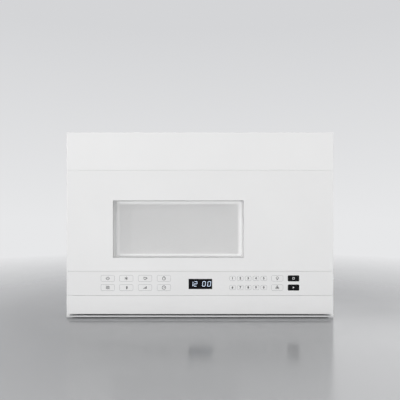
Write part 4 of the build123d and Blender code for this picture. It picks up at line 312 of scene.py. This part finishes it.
materials = {
    "outer_wrap": finish("gloss_white_case", WHITE, 0.32, coat=0.15, **(ENAMEL | {"mottle": 0.006})),
    # The top trim is the door's white made a little lighter: painted light, because light falls more on the
    # top.
    "vent_grille": finish("satin_white_trim_painted_light", shade(WHITE, 1.02), 0.38, **COARSE_SATIN),
    "window_panel": finish("satin_white_panel", WHITE, 0.36, coat=0.1, **SATIN),
    # The control strip is the door's white made a little darker: painted shade for the dimmer light lower on
    # the front.
    "control_strip": finish("satin_white_strip_painted_shade", shade(WHITE, 0.98), 0.36, coat=0.1, **SATIN),
    "grip_strip": finish("satin_white_grip", WHITE, 0.38, **(COARSE_SATIN | {"rough_spread": 0.06})),
    "door_frame": door_moulding("door_moulding"),
    "front_frame": finish("front_enamel", (0.77, 0.775, 0.77), 0.3, coat=0.1, **ENAMEL),
    "oven_cavity": finish("oven_enamel", (0.74, 0.745, 0.735), 0.32, coat=0.15, **ENAMEL),
    "choke_frame": finish("choke_enamel", (0.70, 0.70, 0.69), 0.36, **(ENAMEL | {"grain_depth": 0.002 * MM})),
    "choke_cover": finish("choke_moulding", (0.74, 0.74, 0.73), 0.5, **MOULDED),
    "door_rear_cover": finish("rear_moulding", (0.75, 0.75, 0.74), 0.5, **MOULDED),
    "waveguide_cover": finish(
        "mica_sheet", (0.60, 0.55, 0.43), 0.42, grain_scale=160.0, grain_depth=0.03 * MM, **MICA
    ),
    "window_glass": clear("window_pane", (0.83, 0.84, 0.84), 0.03, 0.05),
    "inner_pane": clear("inner_film", (0.83, 0.84, 0.84), 0.05, 0.08),
    "glass_tray": clear("tray_glass", (0.74, 0.81, 0.80), 0.3, 0.09, stipple=0.01 * MM),
    "light_lens": clear("frosted_lens", (0.86, 0.86, 0.84), 0.72, 0.5, stipple=0.05 * MM),
    "display_lens": finish(
        "display_gloss", (0.005, 0.005, 0.006), 0.14, specular=0.12, mottle=0.1, rough_spread=0.03
    ),
    "display_module": finish("display_case", (0.02, 0.02, 0.022), 0.5),
    "touch_board": circuit("touch_laminate"),
    "power_board": circuit("power_laminate", BOARD_TOP),
    "latch_hooks": finish("natural_nylon", (0.74, 0.73, 0.69), 0.45, **NYLON),
    "interlock_switches": finish("switch_case", (0.025, 0.025, 0.027), 0.5, **NYLON),
    "switch_plungers": finish("plunger_red", (0.42, 0.05, 0.04), 0.4),
    "latch_spring": brushed("spring_strip", (0.62, 0.63, 0.64), 0.3),
    "hinge_bushes": finish("bush_nylon", (0.80, 0.80, 0.77), 0.4, **NYLON),
    "roller_guide": finish("guide_nylon", (0.72, 0.73, 0.71), 0.45, **WORN_NYLON),
    "roller_1": finish("roller_nylon", (0.62, 0.63, 0.62), 0.5, **WORN_NYLON),
    "drive_coupler": finish("coupler_nylon", (0.70, 0.70, 0.67), 0.48, **WORN_NYLON),
    "upper_hinge": brushed("hinge_plate", (0.60, 0.61, 0.62), 0.34),
    "case_screws": brushed("screw_plating", (0.58, 0.58, 0.56), 0.32, along=(6, 6, 6)),
    "back_plate": spangled("zinc_back", (0.60, 0.61, 0.62), 0.46),
    "base_plate": spangled("zinc_base", (0.58, 0.59, 0.60), 0.48),
    "turntable_motor": spangled("motor_can", (0.50, 0.51, 0.52), 0.42),
    "blower_shaft": brushed("ground_shaft", (0.64, 0.65, 0.66), 0.22, along=(1, 60, 60)),
    "blower_wheels": finish("wheel_moulding", (0.07, 0.07, 0.075), 0.48, **NYLON),
    "charcoal_filter": granules("charcoal_grains"),
    "grease_filter_left": brushed("filter_frame", (0.66, 0.67, 0.68), 0.36, along=(1, 30, 30)),
    "magnetron": brushed("magnetron_plating", (0.58, 0.59, 0.60), 0.35, along=(30, 30, 1)),
    "transformer_core": layered("laminations", (0.14, 0.14, 0.15), 1.0 * MM, "Y"),
    "transformer_windings": layered("copper_turns", (0.50, 0.22, 0.07), 1.6 * MM, "Z", 0.35, 0.8),
    "capacitor": brushed("can_aluminium", (0.66, 0.67, 0.68), 0.32, along=(8, 8, 1)),
    "cavity_lamp": finish("lamp_ceramic", (0.80, 0.79, 0.75), 0.35, **CERAMIC),
}
same_as = {
    "roller_1": ("roller_2", "roller_3"),
    "latch_hooks": ("latch_board",),
    "upper_hinge": ("lower_hinge",),
    "case_screws": ("hinge_screws", "cabinet_nuts"),
    "base_plate": ("waveguide", "capacitor_clamp", "blower_housing", "fan_shroud"),
    "turntable_motor": ("blower_motor", "fan_motor"),
    "blower_wheels": ("cooling_fan",),
    "grease_filter_left": ("grease_filter_right",),
    "cavity_lamp": ("cooktop_light",),
}
for first, others in same_as.items():
    for other in others:
        materials[other] = materials[first]

# Each CAD mesh is welded, so that its faces share their corners. The front's panels get rounded edges.
ROUNDED = {"window_panel", "control_strip", "grip_strip", "vent_grille"}
WELD_REACH = 0.01 * MM
EDGE_WIDTH = 0.2 * MM
EDGE_ANGLE = radians(50)


def round_edges(obj, width):
    """Small rounded edges, two faces wide."""
    edge = obj.modifiers.new("edge", "BEVEL")
    edge.width = width
    edge.segments = 2
    return edge


for name, obj in nodes.items():
    if name in materials:
        obj.data.materials.clear()
        obj.data.materials.append(materials[name])
    weld = obj.modifiers.new("weld", "WELD")
    weld.merge_threshold = WELD_REACH
    if name in ROUNDED:
        edge = round_edges(obj, EDGE_WIDTH)
        edge.limit_method = "ANGLE"
        edge.angle_limit = EDGE_ANGLE


# ------------------------------------------------------------------ pieces
def add_piece(name, verts, faces, material, body):
    """A new mesh piece that rides on a body."""
    mesh = bpy.data.meshes.new(name)
    mesh.from_pydata([tuple(v) for v in verts], [], faces)
    mesh.validate()
    mesh.update()
    mesh.materials.append(material)
    obj = bpy.data.objects.new(name, mesh)
    bpy.context.scene.collection.objects.link(obj)
    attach(obj, body)
    return obj


CIRCLE_STEPS = 20
DOT_STEPS = 12
CORNER_STEPS = 5


class Plates:
    """Thin plates on a face of the door, drawn in X and Z, with their fronts at y_front."""

    def __init__(self, y_front, depth):
        self.y_front = y_front
        self.y_back = y_front + depth
        self.verts = []
        self.faces = []

    def polygon(self, points):
        """Plate with this outline, given counterclockwise as seen from the front."""
        start = len(self.verts)
        count = len(points)
        self.verts += [(x, self.y_front, z) for x, z in points]
        self.verts += [(x, self.y_back, z) for x, z in points]
        self.faces.append([start + i for i in range(count)])
        self.walls(start, start + count, count)

    def walls(self, front, back, count):
        """Side faces between two outlines, from their first points' numbers."""
        for i in range(count):
            j = (i + 1) % count
            self.faces.append([front + j, front + i, back + i, back + j])

    def ring(self, outer, inner):
        """Plate between two outlines with the same number of points."""
        start = len(self.verts)
        count = len(outer)
        for y in (self.y_front, self.y_back):
            self.verts += [(x, y, z) for x, z in outer + inner]
        for i in range(count):
            j = (i + 1) % count
            self.faces.append([start + i, start + j, start + count + j, start + count + i])
        self.walls(start, start + 2 * count, count)

    def bar(self, start, end, width):
        """Straight stroke of that width."""
        a, b = Vector(start), Vector(end)
        side = (b - a).normalized().orthogonal() * width / 2
        self.polygon([a - side, b - side, b + side, a + side][::-1])

    def stroke(self, points, width):
        """Bars from each point to the next."""
        for a, b in zip(points, points[1:]):
            self.bar(a, b, width)

    def circle(self, centre, radius, width, steps=CIRCLE_STEPS):
        """Round line of that width."""
        outer = arc(centre, radius + width / 2, 0, 360, steps)[:-1]
        inner = arc(centre, radius - width / 2, 0, 360, steps)[:-1]
        self.ring(outer, inner)

    def dot(self, centre, radius):
        """Small full disc."""
        self.polygon(arc(centre, radius, 0, 360, DOT_STEPS)[:-1])

    def build(self, name, material):
        """Makes one piece on the door of all that was drawn."""
        return add_piece(name, self.verts, self.faces, material, "door")


def arc(centre, radius, start, end, steps):
    """Points along an arc, in degrees."""
    angles = [radians(start + (end - start) * i / steps) for i in range(steps + 1)]
    return [(centre[0] + radius * cos(a), centre[1] + radius * sin(a)) for a in angles]


def rounded(centre, width, height, radius):
    """Outline of a rounded rectangle."""
    x, z = centre
    dx, dz = width / 2 - radius, height / 2 - radius
    points = []
    for turn, (sx, sz) in enumerate(((1, 1), (-1, 1), (-1, -1), (1, -1))):
        points += arc((x + sx * dx, z + sz * dz), radius, turn * 90, turn * 90 + 90, CORNER_STEPS)
    return points


# ------------------------------------------------------------------ keys on the control strip
def mm(*values):
    """Millimetres as metres."""
    return tuple(v * MM for v in values)


# The print stands this far out of its strip, so that it is always seen.
PROUD = 0.01 * MM
Y_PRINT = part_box("control_strip")[0].y - PROUD
PRINT_T = 0.06 * MM
LINE = 0.42 * MM
KEY_R = 3.0 * MM
BLACK_KEY_R = 2.2 * MM

# Middles of the keys, and their widths and heights.
ROW_ZS = mm(90.4, 69.6)
LEFT_XS = mm(-209.5, -167.4, -124.8, -81.9)
LEFT_KEY = mm(31.0, 14.3)
NUMBER_XS = mm(73.8, 91.5, 109.4, 127.1, 144.8)
NUMBER_KEY = mm(14.1, 10.5)
TIME_X = 175.5 * MM
TIME_KEY = mm(26.5, 13.5)
BLACK_X = 212.3 * MM
BLACK_KEY = mm(26.0, 13.8)

outlined = [((x, z), LEFT_KEY) for z in ROW_ZS for x in LEFT_XS]
outlined += [((x, z), NUMBER_KEY) for z in ROW_ZS for x in NUMBER_XS]
outlined += [((TIME_X, z), TIME_KEY) for z in ROW_ZS]
outlines = Plates(Y_PRINT, PRINT_T)
for centre, (width, height) in outlined:
    radius = min(KEY_R, height / 3)
    outer = rounded(centre, width, height, radius)
    inner = rounded(centre, width - 2 * LINE, height - 2 * LINE, radius - LINE)
    outlines.ring(outer, inner)
INK = {"mottle": 0.06, "mottle_scale": 200.0}
line_ink = finish("key_line_ink", (0.26, 0.265, 0.275), 0.5, **INK)
outlines.build("key_outlines", line_ink)

black_keys = Plates(Y_PRINT, PRINT_T)
for z in ROW_ZS:
    black_keys.polygon(rounded((BLACK_X, z), *BLACK_KEY, BLACK_KEY_R))
key_black = finish("key_black_ink", (0.008, 0.008, 0.009), 0.42, specular=0.1, mottle=0.1, mottle_scale=120.0)
black_keys.build("black_keys", key_black)

ICON = 4.1 * MM
WHITE_ICON = 2.7 * MM
STROKE = 1.05 * MM


def draw_icon(plates, kind, centre, size=ICON):
    """One of the generic signs, as strokes in a square that reaches size from its centre."""
    cx, cz = centre
    width = STROKE

    def at(x, z):
        """Place in the sign, whose square goes from -1 to 1."""
        return (cx + x * size, cz + z * size)

    if kind == "clock":
        plates.circle(centre, size, width)
        plates.stroke([at(0, 0.62), at(0, 0), at(0.5, 0)], width)
    elif kind == "timer":
        plates.circle(at(0, -0.1), size * 0.85, width)
        plates.bar(at(-0.3, 1.05), at(0.3, 1.05), width)
        plates.bar(at(0, -0.1), at(0.4, 0.35), width)
    elif kind == "snow":
        for turn in range(3):
            a = radians(30 + 60 * turn)
            plates.bar(at(-cos(a), -sin(a)), at(cos(a), sin(a)), width)
    elif kind == "waves":
        for z in (-0.6, 0, 0.6):
            points = [at(-1 + i / 6, z + 0.22 * sin(i * pi / 3)) for i in range(13)]
            plates.stroke(points, width)
    elif kind == "fan":
        plates.dot(centre, size * 0.2)
        for middle in arc(centre, size * 0.6, 90, 330, 2):
            plates.circle(middle, size * 0.36, width, 12)
    elif kind == "lamp":
        plates.circle(at(0, 0.25), size * 0.62, width)
        plates.bar(at(-0.28, -0.6), at(0.28, -0.6), width)
        plates.bar(at(-0.2, -0.9), at(0.2, -0.9), width)
    elif kind == "cup":
        mug = [at(-0.7, 0.6), at(-0.5, -0.7), at(0.4, -0.7), at(0.6, 0.6), at(-0.7, 0.6)]
        plates.stroke(mug, width)
        plates.circle(at(0.85, 0.05), size * 0.3, width, 10)
    elif kind == "bowl":
        plates.stroke(arc(at(0, 0.2), size * 0.95, 180, 360, 12), width)
        plates.bar(at(-1.05, 0.2), at(1.05, 0.2), width)
        plates.bar(at(-0.4, 0.5), at(-0.2, 0.95), width)
        plates.bar(at(0.2, 0.5), at(0.4, 0.95), width)
    elif kind == "leaf":
        plates.stroke(arc(at(-0.35, 0), size, -48, 48, 8), width)
        plates.stroke(arc(at(0.95, 0), size, 132, 228, 8), width)
        plates.bar(at(0.3, -1.0), at(0.3, 0.4), width)
    elif kind == "level":
        for i in range(4):
            x = -0.75 + 0.5 * i
            plates.bar(at(x, -0.7), at(x, -0.3 + 0.35 * i), width * 1.3)
    elif kind == "stop":
        side = 0.75
        square = [at(-side, -side), at(side, -side), at(side, side), at(-side, side), at(-side, -side)]
        plates.stroke(square, width)
    elif kind == "start":
        plates.polygon([at(-0.6, -0.8), at(0.85, 0), at(-0.6, 0.8)])


LEFT_ICONS = (("bowl", "snow", "cup", "timer"), ("waves", "leaf", "level", "clock"))
icons = Plates(Y_PRINT, PRINT_T)
for z, kinds in zip(ROW_ZS, LEFT_ICONS):
    for x, kind in zip(LEFT_XS, kinds):
        draw_icon(icons, kind, (x, z))
for z, kind in zip(ROW_ZS, ("lamp", "fan")):
    draw_icon(icons, kind, (TIME_X, z))
icon_ink = finish("icon_ink", (0.045, 0.045, 0.05), 0.5, **INK)
icons.build("key_icons", icon_ink)

white_icons = Plates(Y_PRINT - PROUD, PRINT_T)
for z, kind in zip(ROW_ZS, ("stop", "start")):
    draw_icon(white_icons, kind, (BLACK_X, z), size=WHITE_ICON)
white_ink = finish("icon_white_ink", (0.78, 0.79, 0.80), 0.5, mottle=0.03, mottle_scale=200.0)
white_icons.build("black_key_icons", white_ink)

NUMBER_SIZE = 7.0 * MM
BOLD = 0.32 * MM


def lettering(name, places, size, y_front, material):
    """Numbers in the built in font, as one piece of the door that faces the front."""
    verts = []
    faces = []
    for text, (x, z) in places:
        curve = bpy.data.curves.new(name, "FONT")
        curve.body = text
        curve.size = size
        curve.align_x = "CENTER"
        curve.align_y = "CENTER"
        curve.extrude = PRINT_T / 2
        curve.offset = BOLD
        curve.resolution_u = 3
        holder = bpy.data.objects.new(name, curve)
        bpy.context.scene.collection.objects.link(holder)
        bpy.context.view_layer.update()
        graph = bpy.context.evaluated_depsgraph_get()
        mesh = bpy.data.meshes.new_from_object(holder.evaluated_get(graph))
        start = len(verts)
        verts += [(x + v.co.x, y_front + PRINT_T / 2 - v.co.z, z + v.co.y) for v in mesh.vertices]
        faces += [[start + i for i in p.vertices] for p in mesh.polygons]
        bpy.data.objects.remove(holder)
        bpy.data.meshes.remove(mesh)
    return add_piece(name, verts, faces, material, "door")


numbers = []
for z, row in zip(ROW_ZS, ("12345", "67890")):
    numbers += [(number, (x, z)) for number, x in zip(row, NUMBER_XS)]
lettering("key_numbers", numbers, NUMBER_SIZE, Y_PRINT, icon_ink)

# ------------------------------------------------------------------ lit digits of the clock
DIGIT_W = 7.6 * MM
DIGIT_H = 11.6 * MM
DIGIT_XS = mm(-23.2, -14.0, 5.2, 17.0)
DIGIT_T = 0.1 * MM
DIGIT_PROUD = 0.02 * MM
DIGIT_RISE = 0.2 * MM
SEGMENT = 1.05 * MM
SEGMENT_GAP = 0.25 * MM
SLANT = 0.12
SEGMENTS = {"0": "abcdef", "1": "bc", "2": "abged"}
lens_lo, lens_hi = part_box("display_lens")
Y_DIGITS = lens_lo.y - DIGIT_PROUD
Z_DIGITS = (lens_lo.z + lens_hi.z) / 2 - DIGIT_H / 2 + DIGIT_RISE


def segment(plates, origin, which):
    """One bar of a seven bar digit, with pointed ends."""
    w, h = DIGIT_W, DIGIT_H
    half = SEGMENT / 2
    spots = {
        "a": ((half, h - half), (w - half, h - half)),
        "g": ((half, h / 2), (w - half, h / 2)),
        "d": ((half, half), (w - half, half)),
        "f": ((half, h / 2), (half, h - half)),
        "b": ((w - half, h / 2), (w - half, h - half)),
        "e": ((half, half), (half, h / 2)),
        "c": ((w - half, half), (w - half, h / 2)),
    }
    (x0, z0), (x1, z1) = spots[which]
    if z0 == z1:
        x0, x1 = x0 + SEGMENT_GAP, x1 - SEGMENT_GAP
        points = [
            (x0, z0),
            (x0 + half, z0 - half),
            (x1 - half, z0 - half),
            (x1, z0),
            (x1 - half, z0 + half),
            (x0 + half, z0 + half),
        ]
    else:
        z0, z1 = z0 + SEGMENT_GAP, z1 - SEGMENT_GAP
        points = [
            (x0, z0),
            (x0 + half, z0 + half),
            (x0 + half, z1 - half),
            (x0, z1),
            (x0 - half, z1 - half),
            (x0 - half, z0 + half),
        ]
    plates.polygon([(origin[0] + x + SLANT * (z - h / 2), origin[1] + z) for x, z in points])


clock_digits = Plates(Y_DIGITS, DIGIT_T)
for digit, x in zip("1200", DIGIT_XS):
    for which in SEGMENTS[digit]:
        segment(clock_digits, (x, Z_DIGITS), which)
clock_digits.build("clock_digits", glowing("clock_glow", (0.70, 0.82, 1.0), 0.44))


# ------------------------------------------------------------------ perforated sheets
# Corners of a hole's cell, counterclockwise, in half columns and row lines, and where its rim starts.
CELL = ((0, 0), (1, 0), (2, 0), (2, 1), (1, 1), (0, 1))
RIM_START = 210


def perforated(x0, x1, z0, z1, field, pitch, hole):
    """Flat sheet with staggered rows of six sided holes in its field.

    Gives the points and faces of its front, the points round each hole and those of its outline.
    """
    row_h = pitch * sqrt(3) / 2
    field_x0, field_x1, field_z0, field_z1 = field
    columns = int((field_x1 - field_x0) / pitch)
    rows = int((field_z1 - field_z0) / row_h)
    left = (field_x0 + field_x1) / 2 - columns * pitch / 2
    low = (field_z0 + field_z1) / 2 - rows * row_h / 2
    index = {}
    points = []
    faces = []

    def grid(i, j):
        """Number of the point at half column i and row line j."""
        key = (i, j)
        if key not in index:
            index[key] = len(points)
            points.append((left + i * pitch / 2, low + j * row_h))
        return index[key]

    rims = []
    for j in range(rows):
        shift = j % 2
        if shift:
            for i in (0, 2 * columns - 1):
                faces.append([grid(i, j), grid(i + 1, j), grid(i + 1, j + 1), grid(i, j + 1)])
        for k in range(columns - shift):
            i = 2 * k + shift
            cell = [grid(i + across, j + up) for across, up in CELL]
            centre = (left + (i + 1) * pitch / 2, low + (j + 0.5) * row_h)
            start = len(points)
            points += arc(centre, hole, RIM_START, RIM_START + 360, 6)[:-1]
            rim = [start + n for n in range(6)]
            rims.append(rim)
            for n in range(6):
                m = (n + 1) % 6
                faces.append([cell[n], cell[m], rim[m], rim[n]])
    corner = len(points)
    points += [(x0, z0), (x1, z0), (x1, z1), (x0, z1)]
    bottom = [grid(i, 0) for i in range(2 * columns + 1)]
    top = [grid(i, rows) for i in range(2 * columns + 1)]
    west = [grid(0, j) for j in range(rows + 1)]
    east = [grid(2 * columns, j) for j in range(rows + 1)]
    faces.append([corner, corner + 1] + bottom[::-1])
    faces.append([corner + 1, corner + 2] + east[::-1])
    faces.append([corner + 2, corner + 3] + top)
    faces.append([corner + 3, corner] + west)
    return points, faces, rims, [corner, corner + 1, corner + 2, corner + 3]


def add_sheet(name, flat, front, back, to_space, material, body):
    """Gives a flat pattern its thickness, from front to back, and makes a piece of it."""
    points, faces, rims, outline = flat
    count = len(points)
    verts = [to_space(a, b, depth) for depth in (front, back) for a, b in points]
    solid = list(faces) + [[count + i for i in reversed(face)] for face in faces]
    for rim in rims:
        for n in range(len(rim)):
            m = (n + 1) % len(rim)
            solid.append([rim[n], rim[m], count + rim[m], count + rim[n]])
    for n in range(4):
        m = (n + 1) % 4
        solid.append([outline[m], outline[n], count + outline[n], count + outline[m]])
    return add_piece(name, verts, solid, material, body)


SCREEN_FIELD = mm(-190.7, 91.5, 142.4, 260.0)
SCREEN_PITCH = 2.7 * MM
SCREEN_HOLE_R = 0.78 * MM
lo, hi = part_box("door_screen")
screen = add_sheet(
    "perforated_screen",
    perforated(lo.x, hi.x, lo.z, hi.z, SCREEN_FIELD, SCREEN_PITCH, SCREEN_HOLE_R),
    lo.y,
    hi.y,
    lambda a, b, depth: (a, depth, b),
    # The screen's white is lighter than the door's white: painted light that makes up for the shade deep in
    # the window recess.
    finish("screen_enamel_painted_light", (0.88, 0.88, 0.88), 0.45, mottle=0.02, **SHEET_ENAMEL),
    "door",
)
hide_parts("door_screen")

GUARD_RIM = 2.0 * MM
GUARD_PITCH = 3.0 * MM
GUARD_HOLE_R = 0.95 * MM
lo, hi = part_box("lamp_guard")
guard_field = (lo.y + GUARD_RIM, hi.y - GUARD_RIM, lo.z + GUARD_RIM, hi.z - GUARD_RIM)
guard = add_sheet(
    "perforated_guard",
    perforated(lo.y, hi.y, lo.z, hi.z, guard_field, GUARD_PITCH, GUARD_HOLE_R),
    lo.x,
    hi.x,
    lambda a, b, depth: (depth, a, b),
    finish("guard_enamel", (0.70, 0.70, 0.69), 0.4, **SHEET_ENAMEL),
    "cabinet",
)
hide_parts("lamp_guard")


# ------------------------------------------------------------------ trim over the door's top seam
SEAM = 0.2 * MM
LIP_INSET = 0.9 * MM
LIP_DEPTH = 30.0 * MM
LIP_EDGE = 0.3 * MM
grille_lo, grille_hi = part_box("vent_grille")
x_lip = grille_hi.x - LIP_INSET
y_lip = grille_lo.y + LIP_INSET
y_rear = y_lip + LIP_DEPTH
plan = ((-x_lip, y_lip), (x_lip, y_lip), (x_lip, y_rear), (-x_lip, y_rear))
levels = (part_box("window_panel")[1].z + SEAM, grille_lo.z + SEAM)
corners = [(x, y, z) for z in levels for x, y in plan]
sides = [[3, 2, 1, 0], [4, 5, 6, 7], [0, 1, 5, 4], [1, 2, 6, 5], [2, 3, 7, 6], [3, 0, 4, 7]]
# The lip takes the top trim's lightened white, the same painted light.
lip = add_piece("grille_lip", corners, sides, materials["vent_grille"], "cabinet")
round_edges(lip, LIP_EDGE)


# ------------------------------------------------------------------ grease filters' mesh
def expanded_mesh(x0, x1, y0, y1, z, cell_x, cell_y, width, thickness):
    """Layer of expanded metal: zigzag strands that touch at their corners."""
    verts = []
    faces = []
    steps = int((x1 - x0) / cell_x)
    lines = int((y1 - y0) / cell_y)
    dx = (x1 - x0) / steps
    dy = (y1 - y0) / lines
    for line in range(lines):
        start = len(verts)
        for i in range(steps + 1):
            up = (i + line) % 2
            x = x0 + i * dx
            y = y0 + (line + 0.5) * dy + (0.5 if up else -0.5) * dy
            y = min(max(y, y0 + width), y1 - width)
            tilt = thickness if up else -thickness
            verts.append((x, y - width / 2, z + tilt))
            verts.append((x, y + width / 2, z + tilt + thickness / 2))
            verts.append((x, y + width / 2, z + tilt - thickness / 2))
        for i in range(steps):
            a = start + 3 * i
            for n in range(3):
                m = (n + 1) % 3
                faces.append([a + n, a + m, a + 3 + m, a + 3 + n])
    return verts, faces


MESH_BORDER = 7.5 * MM
MESH_LEVEL = 1.0 * MM
MESH_CELL = mm(3.2, 2.6)
STRAND_WIDTH = 0.55 * MM
STRAND_THICKNESS = 0.35 * MM
mesh_metal = brushed("mesh_aluminium", (0.66, 0.67, 0.68), 0.34, along=(20, 20, 1))
for side in ("left", "right"):
    lo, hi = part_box(f"grease_filter_{side}")
    x_ends = (lo.x + MESH_BORDER, hi.x - MESH_BORDER)
    y_ends = (lo.y + MESH_BORDER, hi.y - MESH_BORDER)
    verts = []
    faces = []
    for z in (lo.z + MESH_LEVEL, hi.z - MESH_LEVEL):
        more, quads = expanded_mesh(*x_ends, *y_ends, z, *MESH_CELL, STRAND_WIDTH, STRAND_THICKNESS)
        faces += [[len(verts) + i for i in quad] for quad in quads]
        verts += more
    add_piece(f"filter_mesh_{side}", verts, faces, mesh_metal, f"filter_{side}")


# ------------------------------------------------------------------ floor, light and camera
# The floor lies just under the object and fades out with distance.
FLOOR_REACH = 30.0
FLOOR_DROP = 0.2 * MM
FADE_START = 0.45
FADE_END = 1.6
floor_corners = [(x * FLOOR_REACH, y * FLOOR_REACH, 0) for x, y in ((-1, -1), (1, -1), (1, 1), (-1, 1))]
floor_mesh = bpy.data.meshes.new("floor")
floor_mesh.from_pydata(floor_corners, [], [(0, 1, 2, 3)])
floor = bpy.data.objects.new("floor", floor_mesh)
bpy.context.scene.collection.objects.link(floor)
floor.location.z = -FLOOR_DROP
floor_mat = finish("pale_floor", (0.36, 0.365, 0.375), 0.16, mottle=0.01, mottle_scale=2.0, rough_spread=0.02)
floor_mesh.materials.append(floor_mat)
tree = floor_mat.node_tree
shader = tree.nodes["Principled BSDF"]
place = tree.nodes.new("ShaderNodeTexCoord")
length = tree.nodes.new("ShaderNodeVectorMath")
length.operation = "LENGTH"
tree.links.new(place.outputs["Object"], length.inputs[0])
tree.links.new(to_range(tree, length.outputs["Value"], 1, 0, FADE_START, FADE_END), shader.inputs["Alpha"])

# The background's colours near and over the horizon, and the even light that it gives the object.
HORIZON = (0.80, 0.805, 0.815)
SKY = (0.66, 0.665, 0.68)
AMBIENT = (0.42, 0.42, 0.42)
world = bpy.data.worlds.new("studio")
bpy.context.scene.world = world
world.use_nodes = True
tree = world.node_tree
background = tree.nodes["Background"]
path = tree.nodes.new("ShaderNodeLightPath")
direction = tree.nodes.new("ShaderNodeTexCoord")
split = tree.nodes.new("ShaderNodeSeparateXYZ")
tree.links.new(direction.outputs["Generated"], split.inputs["Vector"])
seen = mix_colour(tree, to_range(tree, split.outputs["Z"], 0, 1, -0.02, 0.35), HORIZON, SKY)
ray = path.outputs["Is Camera Ray"]
for kind in ("Is Glossy Ray", "Is Transmission Ray"):
    either = tree.nodes.new("ShaderNodeMath")
    either.operation = "MAXIMUM"
    tree.links.new(ray, either.inputs[0])
    tree.links.new(path.outputs[kind], either.inputs[1])
    ray = either.outputs[0]
tree.links.new(mix_colour(tree, ray, AMBIENT, seen), background.inputs["Color"])


def softbox(name, place, aim, size, power):
    """Area lamp that points at a spot and isn't seen itself."""
    lamp = bpy.data.lights.new(name, "AREA")
    lamp.shape = "RECTANGLE"
    lamp.size, lamp.size_y = size
    lamp.energy = power
    obj = bpy.data.objects.new(name, lamp)
    bpy.context.scene.collection.objects.link(obj)
    obj.location = place
    obj.rotation_euler = (Vector(aim) - Vector(place)).to_track_quat("-Z", "Y").to_euler()
    obj.visible_camera = False
    return obj


softbox("key", (-3.4, -3.0, 0.95), (0, -0.1, 0.2), (2.5, 2.5), 26)
softbox("left", (-4.6, -0.3, 0.7), (0, -0.1, 0.2), (2.2, 1.4), 48).visible_glossy = False
softbox("right", (4.6, -0.3, 0.7), (0, -0.1, 0.2), (2.2, 1.4), 66).visible_glossy = False
softbox("top", (0, -0.2, 1.9), (0, 0, 0.2), (1.8, 1.4), 5)
softbox("front", (-0.6, -5.2, 0.22), (-0.05, -0.2, 0.2), (2.3, 0.85), 119).visible_glossy = False
softbox("back", (0.6, 1.9, 1.4), (0, 0.1, 0.2), (2.4, 2.0), 13)

# The photograph is taken straight from the front, a little over the object's middle.
CAMERA_PLACE = (0.0, -1.2985, 0.245)
SENSOR_WIDTH = 36.0
FOCAL_LENGTH = 43.6
SHIFT_UP = 0.0257
camera_data = bpy.data.cameras.new("camera")
camera = bpy.data.objects.new("camera", camera_data)
bpy.context.scene.collection.objects.link(camera)
camera.location = CAMERA_PLACE
camera.rotation_euler = (radians(90), 0, 0)
camera_data.sensor_width = SENSOR_WIDTH
camera_data.lens = FOCAL_LENGTH
camera_data.shift_y = SHIFT_UP
bpy.context.scene.camera = camera
bpy.context.scene.view_settings.view_transform = "Standard"
